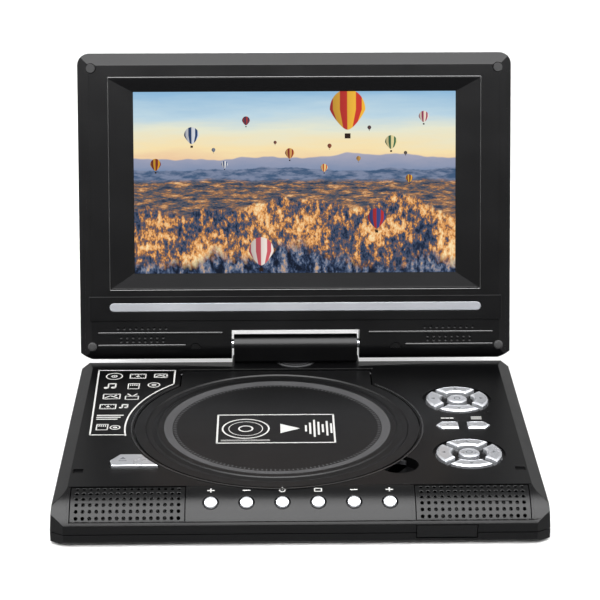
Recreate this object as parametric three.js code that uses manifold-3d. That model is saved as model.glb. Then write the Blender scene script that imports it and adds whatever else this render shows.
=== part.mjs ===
// A portable disc player: a flat case with a disc lid and keys,
// and a screen panel on a swivel and tilt hinge.
// Millimetres, +X right, +Y to the rear, +Z up. The case stands on its feet at z = 0; while it is built its
// front face is y = 0, and the last lines move the origin to the middle of the whole player's footprint.
import * as THREE from "three";
import { mergeVertices } from "three/addons/utils/BufferGeometryUtils.js";
import Module from "manifold-3d";

const wasm = await Module();
wasm.setup();

// ---------------------------------------------------------------- driving sizes

const width = 230; // case and screen panel, side to side
const depth = 176; // case, front face to rear wall
const caseHeight = 20.5; // case, underside to top face
const footHeight = 1.5; // how far the feet hold the case off the table
const wall = 2; // every moulded wall
const gap = 0.3; // between pieces that touch, fit or run in each other
const keyGap = 0.45; // around a key in its hole
const keyProud = 0.9; // how far a key stands above the case
const keyTravel = 0.8; // how far a key goes in
const keyFlange = 0.6; // the rim under the case that holds a key in

// case shape
const chamfer = { across: 6.6, drop: 4 }; // along both sides of the top
const sideFlare = 0.8; // each side wall leans out this much from the chamfer down to the seam
const corner = { across: 6.4, back: 3.8 }; // cut off the four corners
const noseRadius = 22.4; // the rounded front edge
const noseSweep = THREE.MathUtils.degToRad(60);
const rearSlope = { length: 11, drop: 1.6, below: 1 };
const seamHeight = 4.9; // the line between the two halves, above the underside
const footRadius = 6;
const footInset = { side: 16, front: 14, rear: 12 };
const footRecess = 0.8;

// disc lid, well and drive
const lidRadius = 70.8;
const lidX = -10.3;
const lidFromFront = 87.8;
// the straight tab behind the disc
const lidTab = { left: lidRadius - 20.8, right: lidRadius - 21.3, behind: 0.7 };
const lidThickness = 2;
const lidGap = 0.6;
const lidBarrelRadius = 1.8;
const lidPinRadius = 0.8;
const discWellRadius = lidRadius - 8.3; // a 120 mm disc and room for a finger
const discWellDepth = 7; // top face to the floor that the disc turns over
const wellFloor = 1.5;
const turntableRadius = 15.5;
const discHoleRadius = 7.3;
const spindleRadius = 1;
const motor = { radius: 11, height: 9.5 };
const pickup = { across: 38, along: 20, height: 7, lensRadius: 4, travel: 32, firstTrack: 24 };
const rod = { radius: 1.5, spacing: 28 };
const sledGear = { pitchRadius: 8, thickness: 3, shaftRadius: 1.2 };
const rack = { across: 2, height: 2 };

// keys
const padInset = 32.7; // pad centres from the right side
const padFromFront = [52.8, 118.3]; // lower and upper pad
const padWellRadius = 17.6;
const padKey = { outer: 15.8, inner: 8.7, gap: 3.2, centre: 5.1 };
const padWellDepth = 1.1;
const barKey = { across: 11.2, along: 7.8, point: 2.6, apart: 15.7 };
const frontKey = { radius: 3.05, hole: 3.8, spacing: 16.6, count: 6, angle: THREE.MathUtils.degToRad(31) };
const releaseKey = { arc: lidRadius + 3.7, left: 24.4, tip: 29, back: 52.5, shoulder: 45.5, front: 40 };

// front grilles, speakers and receiver window
const grille = { fromSide: 8.6, across: 53, thickness: 1.5, from: 3, to: 55 };
const speaker = { across: 44, along: 15, plate: 2.5, magnetRadius: 6, magnet: 5 };
const irWindow = { x: 67.6, across: 28, top: 11.9, tall: 6.3 };

// sockets in the case sides, above the seam
const socketHeight = 10.5; // above the underside
const sockets = { dc: 52, headphone: 72, usb: 60 }; // from the front face
const jack = { radius: 3.6, length: 10, bore: 2.6 };
const usb = { across: 13.2, tall: 5.8, length: 14, shell: 0.6 };

// swivel and tilt hinge
const swivelFromRear = 1.5; // swivel axis ahead of the rear wall
const tiltHeight = 9.3; // tilt axis above the top face
const block = { across: 66, reach: 7.6, radius: 5.8, bottom: 8.2, coverFrom: 3.5, shell: 1.8 };
const shaft = { radius: 9.5, flange: 2 };
const spigot = { radius: 5.4, bore: 3.8, height: 4 }; // the shaft's narrow top, held in the block
const bush = { wall: 1.4, length: 10, flange: 1.2, flangeThickness: 1.7 };
const bushReach = shaft.radius + gap + bush.wall + bush.flange;
// the case carries the swivel on this bulge
const seat = { across: 68, behind: bushReach + wall - 0.4, cornerRadius: 12 };
const tiltPin = { radius: 2.5, length: 20, inBlock: 9 };
const bracket = { across: 6, tall: 12 };

// screen panel
const panelThickness = 16;
const panelLean = THREE.MathUtils.degToRad(15.6); // at rest, behind upright
const panelWall = 2.5;
const panelEdge = { across: 6.3, front: 4, rear: 3 };
const panelSeam = 1; // the bezel's rear edge, behind the middle of the panel
const panelCornerRadius = 6.5;
const notchRoom = 1.2; // beside the hinge block
const notchTop = 8; // above the tilt axis
const lcd = { across: 171, tall: 96.3, bottom: 46.4, border: 2.5, thickness: 4, sunk: 2.8 };
const frameLip = { side: 11, above: 6.7, below: 7.9 }; // the sloping border around the picture
const band = { bottom: 21.3, tall: 12.8, proud: 0.7, fromSide: 2 };
const strip = { bottom: 26.3, tall: 4.4, fromSide: 16.1, thickness: 1, proud: 0.2 };
const bumper = { radius: 2.4, fromSide: 7.4, fromTop: 8, thickness: 1.6, proud: 1 };

// ---------------------------------------------------------------- places worked out from them

const halfWidth = width / 2;
const underside = footHeight;
const top = footHeight + caseHeight;
const seam = underside + seamHeight;
const noseDepth = noseRadius * Math.sin(noseSweep);
const swivelY = depth - swivelFromRear;
const tiltZ = top + tiltHeight;
const halfPanel = panelThickness / 2;
const panelHeight = swivelY + halfPanel - noseDepth; // closed, the panel ends where the nose begins
const lidRear = lidFromFront + lidRadius + lidTab.behind;
const lidPinY = lidRear - lidBarrelRadius;
const lidPinZ = top - lidBarrelRadius;
const wellFloorZ = top - discWellDepth;
const padX = halfWidth - padInset;
const notchHalf = block.across / 2 + notchRoom;

// ---------------------------------------------------------------- shapes and solids

// A closed three.js geometry as a manifold-3d solid.
function solid(geometry) {
  const bare = geometry.index ? geometry.toNonIndexed() : geometry.clone();
  bare.deleteAttribute("normal");
  bare.deleteAttribute("uv");
  const merged = mergeVertices(bare, 1e-4);
  return new wasm.Manifold(
    new wasm.Mesh({
      numProp: 3,
      vertProperties: merged.attributes.position.array,
      triVerts: new Uint32Array(merged.index.array),
    }),
  );
}

// A solid as a three.js geometry.
function geometryOf(body) {
  const shape = body.getMesh();
  const geometry = new THREE.BufferGeometry();
  geometry.setAttribute("position", new THREE.BufferAttribute(new Float32Array(shape.vertProperties), 3));
  geometry.setIndex(new THREE.BufferAttribute(new Uint32Array(shape.triVerts), 1));
  geometry.computeVertexNormals();
  return geometry;
}

function polygon(points) {
  return new THREE.Shape(points.map(([a, b]) => new THREE.Vector2(a, b)));
}

function circle(radius, x = 0, y = 0) {
  return new THREE.Shape().absarc(x, y, radius, 0, 2 * Math.PI, false);
}

// A rectangle between two corners, with round corners when a radius is given.
function rectangle(left, low, right, high, radius = 0) {
  if (radius === 0) return polygon([[left, low], [right, low], [right, high], [left, high]]);
  const shape = new THREE.Shape();
  shape.absarc(right - radius, low + radius, radius, -Math.PI / 2, 0, false);
  shape.absarc(right - radius, high - radius, radius, 0, Math.PI / 2, false);
  shape.absarc(left + radius, high - radius, radius, Math.PI / 2, Math.PI, false);
  shape.absarc(left + radius, low + radius, radius, Math.PI, 1.5 * Math.PI, false);
  return shape;
}

// A shape drawn in two axes and extruded along the third: (Y, Z) along X, (X, Z) along Y, (X, Y) along Z.
function extruded(shape, from, to, segments, basis) {
  const options = { depth: to - from, bevelEnabled: false, curveSegments: segments };
  const geometry = new THREE.ExtrudeGeometry(shape, options);
  geometry.translate(0, 0, basis.flip ? -to : from);
  return solid(geometry.applyMatrix4(basis.matrix));
}

const axisX = new THREE.Vector3(1, 0, 0);
const axisY = new THREE.Vector3(0, 1, 0);
const axisZ = new THREE.Vector3(0, 0, 1);
const basisX = { matrix: new THREE.Matrix4().makeBasis(axisY, axisZ, axisX), flip: false };
const basisY = { matrix: new THREE.Matrix4().makeBasis(axisX, axisZ, axisY.clone().negate()), flip: true };
const basisZ = { matrix: new THREE.Matrix4(), flip: false };

function alongX(shape, from, to, segments = 12) {
  return extruded(shape, from, to, segments, basisX);
}

function alongY(shape, from, to, segments = 12) {
  return extruded(shape, from, to, segments, basisY);
}

function alongZ(shape, from, to, segments = 12) {
  return extruded(shape, from, to, segments, basisZ);
}

function box(x, y, z) {
  return alongZ(rectangle(x[0], y[0], x[1], y[1]), z[0], z[1]);
}

// A round pin or hole standing along Z.
function roundZ(radius, x, y, from, to, sides = 32) {
  // three.js steps a full circle twice per segment
  return alongZ(circle(radius, x, y), from, to, sides / 2);
}

function join(...bodies) {
  return bodies.reduce((whole, body) => whole.add(body));
}

function cut(body, ...tools) {
  return tools.reduce((whole, tool) => whole.subtract(tool), body);
}

const materials = {};

function material(name, color, roughness, metalness = 0) {
  materials[name] = new THREE.MeshStandardMaterial({ name, color, roughness, metalness });
}

material("case_plastic", 0x1c1c1e, 0.55);
material("silver_plastic", 0xb9bcc0, 0.35, 0.6);
material("gloss_black", 0x0b0b0d, 0.12);
material("rubber", 0x161616, 0.9);
material("board", 0x1f5a36, 0.6);
material("steel", 0xa8abb0, 0.3, 1);
material("drive_plastic", 0x2b2c30, 0.5);
material("battery", 0x4a5a70, 0.5);
material("screen", 0x6f93b8, 0.1);
material("nylon", 0xe8e6df, 0.5);

const player = new THREE.Group();

function piece(name, body, materialName, parent = player) {
  const mesh = new THREE.Mesh(geometryOf(body), materials[materialName].clone());
  mesh.name = name;
  parent.add(mesh);
  return mesh;
}

// ---------------------------------------------------------------- case

// The case's outer form, or the same form shrunk by an inset: side view, front view and plan in common.
function caseForm(inset) {
  const low = underside + inset;
  const high = top - inset;
  const rear = depth - inset;
  const radius = noseRadius - inset;
  const slopeEnd = rear - rearSlope.below;
  const side = new THREE.Shape();
  side.moveTo(slopeEnd, low);
  side.lineTo(rear, low + 1);
  side.lineTo(rear, high - rearSlope.drop - rearSlope.below);
  side.lineTo(slopeEnd, high - rearSlope.drop);
  side.lineTo(slopeEnd - rearSlope.length, high);
  side.absarc(noseDepth, top - noseRadius, radius, Math.PI / 2, Math.PI / 2 + noseSweep, false);
  side.lineTo(inset, high - noseRadius * (1 - Math.cos(noseSweep)));
  side.lineTo(inset, low + 1);
  side.lineTo(inset + 1, low);
  const half = halfWidth - inset;
  const flat = halfWidth - chamfer.across - inset * 0.6;
  const foot = half + sideFlare;
  const shoulder = high - chamfer.drop;
  const front = polygon([
    [-foot, low], [foot, low], [foot, seam], [half, shoulder],
    [flat, high], [-flat, high], [-half, shoulder], [-foot, seam],
  ]);
  const clip = corner.across;
  const back = corner.back;
  const plan = polygon([
    [-foot + clip, inset], [foot - clip, inset], [foot, inset + back], [foot, rear - back],
    [foot - clip, rear], [-foot + clip, rear], [-foot, rear - back], [-foot, inset + back],
  ]);
  const seatRear = depth + seat.behind - inset;
  const seatHalf = seat.across / 2 - inset;
  const bulge = rectangle(-seatHalf, swivelY - seatHalf / 2, seatHalf, seatRear, seat.cornerRadius - inset);
  const body = alongX(side, -foot, foot, 16)
    .intersect(alongY(front, -1, depth + 1))
    .intersect(alongZ(plan, 0, top + 1));
  return body.add(alongZ(bulge, low, high, 6));
}

const caseSolid = caseForm(0);
const caseCavity = caseForm(wall);

// The lid's plan, grown by an allowance: a circle with a straight tab behind it.
function lidPlan(grow, from, to) {
  const disc = roundZ(lidRadius + grow, lidX, lidFromFront, from, to, 72);
  const left = lidX - lidTab.left - grow;
  const right = lidX + lidTab.right + grow;
  return disc.add(box([left, right], [lidFromFront, lidRear + grow], [from, to]));
}

// One of the four arc keys of a pad, between two diagonals, grown by an allowance.
function padKeyPlan(grow) {
  const outer = padKey.outer + grow;
  const inner = padKey.inner - grow;
  const offset = (padKey.gap / 2 - grow) * Math.SQRT2;
  const angleAt = (radius) => Math.PI / 4 - Math.asin(offset / Math.SQRT2 / radius);
  const shape = new THREE.Shape();
  shape.absarc(0, 0, outer, Math.PI / 2 - angleAt(outer), Math.PI / 2 + angleAt(outer), false);
  shape.absarc(0, 0, inner, Math.PI / 2 + angleAt(inner), Math.PI / 2 - angleAt(inner), true);
  return shape;
}

// A key's solid: its cap through the case and its rim below the case.
function keyBody(plan, floorZ, segments) {
  const rimTop = top - wall - gap;
  const rim = alongZ(plan(keyFlange), floorZ, rimTop, segments);
  return alongZ(plan(0), floorZ, top + keyProud, segments).add(rim);
}

const keyBottom = top - wall - gap - 1.5;
const padDirections = [["up", 0], ["left", 90], ["down", 180], ["right", 270]];
const padNames = ["lower_pad", "upper_pad"];
const padKeys = [];
padFromFront.forEach((y, index) => {
  padDirections.forEach(([direction, turn]) => {
    padKeys.push({ name: `${padNames[index]}_${direction}_key`, plan: padKeyPlan, x: padX, y, turn });
  });
  const centrePlan = (grow) => circle(padKey.centre + grow);
  padKeys.push({ name: `${padNames[index]}_centre_key`, plan: centrePlan, x: padX, y, turn: 0 });
});

// Two bar keys between the pads, each pointed at its outer end.
function barKeyPlan(grow) {
  const half = barKey.across / 2 + grow;
  const tall = barKey.along / 2 + grow;
  const shoulder = -half + barKey.point;
  return polygon([[-half, 0], [shoulder, -tall], [half, -tall], [half, tall], [shoulder, tall]]);
}

const barKeyY = (padFromFront[0] + padFromFront[1]) / 2;
padKeys.push({ name: "setup_key", plan: barKeyPlan, x: padX - barKey.apart / 2, y: barKeyY, turn: 0 });
padKeys.push({ name: "menu_key", plan: barKeyPlan, x: padX + barKey.apart / 2, y: barKeyY, turn: 180 });

// The lid release key beside the lid: its right end follows the lid.
function releasePlan(grow) {
  const left = -halfWidth + releaseKey.left - grow;
  const tip = -halfWidth + releaseKey.tip - grow;
  const arc = releaseKey.arc - grow;
  const backY = releaseKey.back + grow;
  const frontY = releaseKey.front - grow;
  const angleAt = (y) => Math.PI + Math.asin((lidFromFront - y) / arc);
  const shape = new THREE.Shape();
  shape.moveTo(tip, backY);
  shape.lineTo(left, releaseKey.shoulder);
  shape.lineTo(left + 1.2, frontY);
  shape.absarc(lidX, lidFromFront, arc, angleAt(frontY), angleAt(backY), true);
  return shape;
}

// A front key's place: the nose's centre line, turned to the key's angle.
function onNose(body, angle, x = 0) {
  return body.rotate([THREE.MathUtils.radToDeg(angle), 0, 0]).translate([x, noseDepth, top - noseRadius]);
}

function frontKeyX(index) {
  return (index - (frontKey.count - 1) / 2) * frontKey.spacing;
}

// A curved plate in the nose, between two angles from upright and two radii.
function nosePlate(inner, outer, fromDeg, toDeg, left, right) {
  const start = Math.PI / 2 + THREE.MathUtils.degToRad(fromDeg);
  const end = Math.PI / 2 + THREE.MathUtils.degToRad(toDeg);
  const shape = new THREE.Shape();
  shape.absarc(noseDepth, top - noseRadius, outer, start, end, false);
  shape.absarc(noseDepth, top - noseRadius, inner, end, start, true);
  return alongX(shape, left, right, 14);
}

function grilleSpan(side) {
  const outerX = side * (halfWidth - grille.fromSide);
  const innerX = outerX - side * grille.across;
  return [Math.min(outerX, innerX), Math.max(outerX, innerX)];
}

const windowTop = top - irWindow.top;
const windowZ = [windowTop - irWindow.tall, windowTop];
const windowX = [irWindow.x - irWindow.across / 2, irWindow.x + irWindow.across / 2];

function windowSolid(grow, from, to) {
  return box([windowX[0] - grow, windowX[1] + grow], [from, to], [windowZ[0] - grow, windowZ[1] + grow]);
}

const socketZ = underside + socketHeight;
const bushRadius = shaft.radius + gap + bush.wall;
const scoopAngle = THREE.MathUtils.degToRad(39.1);
const scoopReach = lidRadius + 3.7;
// The finger hollow at the lid's edge.
const scoop = {
  radius: 9.5,
  x: lidX + scoopReach * Math.cos(scoopAngle),
  y: lidFromFront - scoopReach * Math.sin(scoopAngle),
  depth: 5.2,
};

// Top half of the case.
let topCover = caseSolid.intersect(box([-width, width], [-10, depth + 40], [seam + gap / 2, top + 1]));
topCover = cut(topCover, caseCavity);
const scoopFloor = top - scoop.depth;
const flangeRadius = lidRadius + lidGap + 1.5;
const scoopCup = cut(
  roundZ(scoop.radius + wall, scoop.x, scoop.y, scoopFloor - wall, top - wall),
  roundZ(flangeRadius + gap, lidX, lidFromFront, 0, top, 72),
);
const pinBlock = 3;
const pinEnds = [lidX - lidTab.left - lidGap, lidX + lidTab.right + lidGap];
const pinSupports = pinEnds.map((x, index) => {
  const out = index === 0 ? x - pinBlock : x + pinBlock;
  const span = [Math.min(x, out), Math.max(x, out)];
  return box(span, [lidPinY - 3, lidPinY + 3], [lidPinZ - 3, top - wall / 2]);
});
topCover = join(topCover, scoopCup, ...pinSupports);
const pinSpan = [pinEnds[0] - pinBlock + 1, pinEnds[1] + pinBlock - 1];
topCover = cut(
  topCover,
  lidPlan(lidGap, top - wall - 1, top + 1),
  roundZ(scoop.radius, scoop.x, scoop.y, scoopFloor, top + 1),
  alongX(circle(lidPinRadius + gap, lidPinY, lidPinZ), pinSpan[0] - gap, pinSpan[1] + gap, 8),
  roundZ(bushRadius + gap, 0, swivelY, top - wall - 1, top + 1),
  alongZ(releasePlan(keyGap), top - wall - 1, top + 1, 10),
  windowSolid(gap, -1, wall + 1),
);
padFromFront.forEach((y) => {
  topCover = topCover.subtract(roundZ(padWellRadius, padX, y, top - padWellDepth, top + 1, 24));
});
padKeys.forEach((key) => {
  const hole = alongZ(key.plan(keyGap), top - wall - 1, top + 1, 6);
  topCover = topCover.subtract(hole.rotate([0, 0, key.turn]).translate([key.x, key.y, 0]));
});
for (let index = 0; index < frontKey.count; index++) {
  const hole = roundZ(frontKey.hole, 0, 0, noseRadius - wall - 1, noseRadius + 1, 24);
  topCover = topCover.subtract(onNose(hole, frontKey.angle, frontKeyX(index)));
}
[-1, 1].forEach((side) => {
  const [left, right] = grilleSpan(side);
  const across = [left - gap, right + gap];
  const hole = nosePlate(noseRadius - wall - 1, noseRadius + 1, grille.from - 1, grille.to + 1, ...across);
  topCover = topCover.subtract(hole);
});
const jackHole = (y) =>
  alongX(circle(jack.radius + gap, y, socketZ), halfWidth - wall - 1, halfWidth + 1, 20);
const usbHalf = [usb.across / 2, usb.tall / 2];
function usbOutline(grow) {
  const across = usbHalf[0] + grow;
  const tall = usbHalf[1] + grow;
  return rectangle(sockets.usb - across, socketZ - tall, sockets.usb + across, socketZ + tall);
}
topCover = cut(
  topCover,
  jackHole(sockets.dc),
  jackHole(sockets.headphone),
  alongX(usbOutline(gap), -halfWidth - 1, -halfWidth + wall + 1),
);
piece("base_top_cover", topCover, "case_plastic");

// Bottom half of the case, a tray with a recess for each foot.
const feet = [];
[-1, 1].forEach((side) => {
  const x = side * (halfWidth - footInset.side);
  feet.push({ name: `foot_front_${side < 0 ? "left" : "right"}`, x, y: footInset.front });
  feet.push({ name: `foot_rear_${side < 0 ? "left" : "right"}`, x, y: depth - footInset.rear });
});
let bottomCover = caseSolid.intersect(box([-width, width], [-10, depth + 40], [0, seam - gap / 2]));
bottomCover = cut(bottomCover, caseCavity, windowSolid(gap, -1, wall + 1));
feet.forEach((foot) => {
  const recess = roundZ(footRadius + gap, foot.x, foot.y, 0, underside + footRecess, 24);
  bottomCover = bottomCover.subtract(recess);
});
piece("base_bottom_cover", bottomCover, "case_plastic");
feet.forEach((foot) => {
  piece(foot.name, roundZ(footRadius, foot.x, foot.y, 0, underside + footRecess - gap, 24), "rubber");
});

// ---------------------------------------------------------------- disc well and drive

const flangeTop = top - wall - gap;
const slotHalf = pickup.lensRadius + 3;
const rodZ = wellFloorZ - wellFloor - 4.5;
const rodXs = [lidX - rod.spacing / 2, lidX + rod.spacing / 2];
const pickupY = lidFromFront - pickup.firstTrack;
const rodEnds = [pickupY - pickup.travel - pickup.along / 2 - 3.5, pickupY + pickup.along / 2 + 10];
let well = join(
  roundZ(flangeRadius, lidX, lidFromFront, flangeTop - 2.3, flangeTop, 72),
  roundZ(discWellRadius + wall, lidX, lidFromFront, wellFloorZ - wellFloor, flangeTop, 48),
);
const rodHolders = rodXs.flatMap((x) =>
  rodEnds.map((y, index) => {
    const along = index === 0 ? [y, y + 3] : [y - 3, y];
    const upTo = index === 0 ? flangeTop - 1 : wellFloorZ - wellFloor / 2;
    return box([x - 2.6, x + 2.6], along, [rodZ - 2.6, upTo]);
  }),
);
well = join(well, ...rodHolders).intersect(caseForm(wall + gap));
well = cut(
  well,
  roundZ(discWellRadius, lidX, lidFromFront, wellFloorZ, top, 48),
  roundZ(turntableRadius + 1.5, lidX, lidFromFront, 0, top, 32),
  box(
    [lidX - slotHalf, lidX + slotHalf],
    [lidFromFront - discWellRadius + 2, lidFromFront],
    [rodZ + 2.7, top],
  ),
  box([-width, width], [lidPinY - 4, depth], [flangeTop - 3, top]),
  roundZ(scoop.radius, scoop.x, scoop.y, scoopFloor, top),
  ...rodXs.map((x) => alongY(circle(rod.radius + gap, x, rodZ), rodEnds[0] + 1, rodEnds[1] - 1, 8)),
);
const hookAngle = Math.PI + 0.62; // towards the release key
const hookReach = lidRadius - 3.3;
const hookAt = [lidX + hookReach * Math.cos(hookAngle), lidFromFront + hookReach * Math.sin(hookAngle)];
const hookBox = (grow) =>
  box(
    [hookAt[0] - 2 - grow, hookAt[0] + 2 + grow],
    [hookAt[1] - 1.5 - grow, hookAt[1] + 1.5 + grow],
    [top - 6, top - 1],
  );
piece("disc_well", cut(well, hookBox(1)), "drive_plastic");
rodXs.forEach((x, index) => {
  const bar = alongY(circle(rod.radius, x, rodZ), rodEnds[0] + 1 + gap, rodEnds[1] - 1 - gap, 8);
  piece(`guide_rod_${index === 0 ? "left" : "right"}`, bar, "steel");
});

// The spindle motor below the well, and the turntable on its shaft.
const motorTop = wellFloorZ - 0.8;
const motorBody = cut(
  roundZ(motor.radius, lidX, lidFromFront, motorTop - motor.height, motorTop),
  roundZ(spindleRadius + gap, lidX, lidFromFront, motorTop - 5, motorTop + 1, 12),
);
piece("spindle_motor", motorBody, "steel");
const turntable = join(
  roundZ(turntableRadius, lidX, lidFromFront, motorTop + gap, wellFloorZ + 2),
  roundZ(discHoleRadius, lidX, lidFromFront, wellFloorZ + 1, top - lidThickness - 0.7),
  roundZ(spindleRadius, lidX, lidFromFront, motorTop - 4, wellFloorZ, 12),
);
piece("turntable", turntable, "drive_plastic");

// The laser pickup on its rods, with a rack that the sled gear drives.
const pickupZ = [rodZ - pickup.height / 2, rodZ + pickup.height / 2];
const rackX = [lidX + pickup.across / 2 - rack.across, lidX + pickup.across / 2];
const gearY = pickupY - pickup.along / 2 + 1;
let laser = join(
  box(
    [lidX - pickup.across / 2, rackX[0] + 0.5],
    [pickupY - pickup.along / 2, pickupY + pickup.along / 2],
    pickupZ,
  ),
  box(rackX, [gearY - 2, gearY + pickup.travel + 2], [rodZ - rack.height / 2, rodZ + rack.height / 2]),
  roundZ(pickup.lensRadius, lidX, pickupY, rodZ, wellFloorZ - 0.1, 16),
);
laser = cut(
  laser,
  ...rodXs.map((x) => alongY(circle(rod.radius + gap, x, rodZ), 0, depth, 8)),
);
piece("laser_pickup", laser, "drive_plastic");
const gearX = rackX[1] + sledGear.pitchRadius;
const gear = join(
  roundZ(
    sledGear.pitchRadius - gap, gearX, gearY,
    rodZ - sledGear.thickness / 2, rodZ + sledGear.thickness / 2, 28,
  ),
  roundZ(sledGear.shaftRadius, gearX, gearY, underside + wall + gap, wellFloorZ - wellFloor - gap, 10),
);
piece("sled_gear", gear, "nylon");
const motorSpan = [underside + wall + gap, wellFloorZ - wellFloor - 1];
piece("sled_motor", roundZ(6, gearX + 10.5, gearY + 14, ...motorSpan, 20), "steel");

// ---------------------------------------------------------------- lid

let lid = lidPlan(0, top - lidThickness, top);
const barrelSpan = [lidX - lidTab.left, lidX + lidTab.right];
lid = cut(lid, box([-width, width], [lidPinY, depth], [0, top + 1]));
const lidBarrel = alongX(circle(lidBarrelRadius, lidPinY, lidPinZ), barrelSpan[0], barrelSpan[1], 12);
lid = join(lid, lidBarrel, hookBox(0));
lid = lid.subtract(alongX(circle(lidPinRadius + gap, lidPinY, lidPinZ), -width, width, 8));
piece("disc_lid", lid, "case_plastic");
piece("lid_hinge_pin", alongX(circle(lidPinRadius, lidPinY, lidPinZ), pinSpan[0], pinSpan[1], 8), "steel");

// ---------------------------------------------------------------- keys

padKeys.forEach((key) => {
  const body = keyBody(key.plan, keyBottom, 6).rotate([0, 0, key.turn]).translate([key.x, key.y, 0]);
  piece(key.name, body, "silver_plastic");
});
piece("lid_release_key", keyBody(releasePlan, keyBottom, 10), "silver_plastic");
for (let index = 0; index < frontKey.count; index++) {
  const rimTop = noseRadius - wall - 2 * gap;
  const cap = roundZ(frontKey.radius, 0, 0, rimTop - 1, noseRadius + keyProud, 20);
  const rim = roundZ(frontKey.hole + keyFlange, 0, 0, rimTop - 1.2, rimTop, 12);
  const set = onNose(join(cap, rim), frontKey.angle, frontKeyX(index));
  piece(`front_key_${index + 1}`, set, "silver_plastic");
}
const boardLeft = Math.max(lidX + flangeRadius + 1, padX - padWellRadius - 2);
const keyBoardZ = [keyBottom - keyTravel - gap - 1.6, keyBottom - keyTravel - gap];
const keyBoardY = [padFromFront[0] - padWellRadius, padFromFront[1] + padWellRadius];
piece("key_board", box([boardLeft, padX + padWellRadius], keyBoardY, keyBoardZ), "board");

// ---------------------------------------------------------------- front: grilles, speakers, receiver window

[-1, 1].forEach((side) => {
  const name = side < 0 ? "left" : "right";
  const [left, right] = grilleSpan(side);
  const inner = noseRadius - grille.thickness;
  const plate = nosePlate(inner, noseRadius - 0.2, grille.from, grille.to, left, right);
  piece(`speaker_grille_${name}`, plate, "case_plastic");
  const face = Math.sqrt((noseRadius - wall - gap) ** 2 - (speaker.along / 2) ** 2) - gap;
  const half = speaker.across / 2;
  const cone = rectangle(-half, -speaker.along / 2, half, speaker.along / 2, speaker.along / 2 - 0.01);
  const driver = join(
    alongZ(cone, face - speaker.plate, face, 8),
    roundZ(
      speaker.magnetRadius, 0, 0,
      face - speaker.plate - speaker.magnet, face - speaker.plate + 0.5, 16,
    ),
  );
  piece(`speaker_${name}`, onNose(driver, frontKey.angle, (left + right) / 2), "steel");
});
piece("ir_window", windowSolid(0, 0.4, wall), "gloss_black");

// ---------------------------------------------------------------- boards, battery and sockets

const roomSide = halfWidth - wall - 1.5;
const mainBoardY = [noseDepth + 6, depth - 22];
const mainBoardZ = [underside + wall + 1.2, underside + wall + 2.8];
piece("main_board", box([boardLeft, roomSide - jack.length], mainBoardY, mainBoardZ), "board");
const batteryRight = lidX - flangeRadius - 1;
const batteryZ = [underside + wall + gap, top - wall - chamfer.drop];
const batteryX = [-roomSide + 1, batteryRight];
piece("battery_pack", box(batteryX, [lidFromFront - 4, depth - 18], batteryZ), "battery");

function jackBody(y) {
  const from = halfWidth - jack.length - 0.3;
  const barrel = alongX(circle(jack.radius, y, socketZ), from, halfWidth - 0.3, 20);
  return barrel.subtract(alongX(circle(jack.bore, y, socketZ), from + 1.5, halfWidth + 1, 16));
}

piece("dc_jack", jackBody(sockets.dc), "gloss_black");
piece("headphone_jack", jackBody(sockets.headphone), "steel");
const usbShell = alongX(usbOutline(0), -halfWidth + 0.3, -halfWidth + 0.3 + usb.length);
const usbHollow = alongX(usbOutline(-usb.shell), -halfWidth - 1, -halfWidth + usb.length - 1);
piece("usb_socket", usbShell.subtract(usbHollow), "steel");

// ---------------------------------------------------------------- swivel

const bushBottom = top - bush.length;
const bushRing = join(
  roundZ(bushRadius, 0, swivelY, bushBottom, top + 0.3),
  roundZ(bushRadius + bush.flange, 0, swivelY, flangeTop - bush.flangeThickness, flangeTop),
);
piece("swivel_bush", cut(bushRing, roundZ(shaft.radius + gap, 0, swivelY, 0, top + 5)), "nylon");

const blockBottom = tiltZ - block.bottom;
const shaftTop = blockBottom - gap;
const shaftBottom = bushBottom - gap - bush.flangeThickness;
const shaftTube = join(
  roundZ(shaft.radius, 0, swivelY, shaftBottom, shaftTop),
  roundZ(shaft.radius + shaft.flange, 0, swivelY, shaftBottom, shaftBottom + bush.flangeThickness),
  roundZ(spigot.radius, 0, swivelY, shaftTop - 1, shaftTop + spigot.height),
);
piece("swivel_shaft", cut(shaftTube, roundZ(spigot.bore, 0, swivelY, 0, top + tiltHeight)), "steel");

// The hinge block: a round top ahead of the tilt axis, straight below it,
// inside the circle that the notch sweeps.
function blockForm(inset) {
  const radius = block.radius - inset;
  const reach = block.reach - inset;
  const low = blockBottom + inset;
  const shape = new THREE.Shape();
  shape.absarc(swivelY - block.reach + block.radius, tiltZ, radius, Math.PI / 8, Math.PI, false);
  shape.lineTo(swivelY - reach, low + 1);
  shape.lineTo(swivelY - reach + 1, low);
  shape.lineTo(swivelY + reach - 1, low);
  shape.lineTo(swivelY + reach, low + 1);
  shape.lineTo(swivelY + reach, tiltZ - radius / 2);
  const half = block.across / 2 - inset;
  return alongX(shape, -half, half, 20);
}

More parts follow.
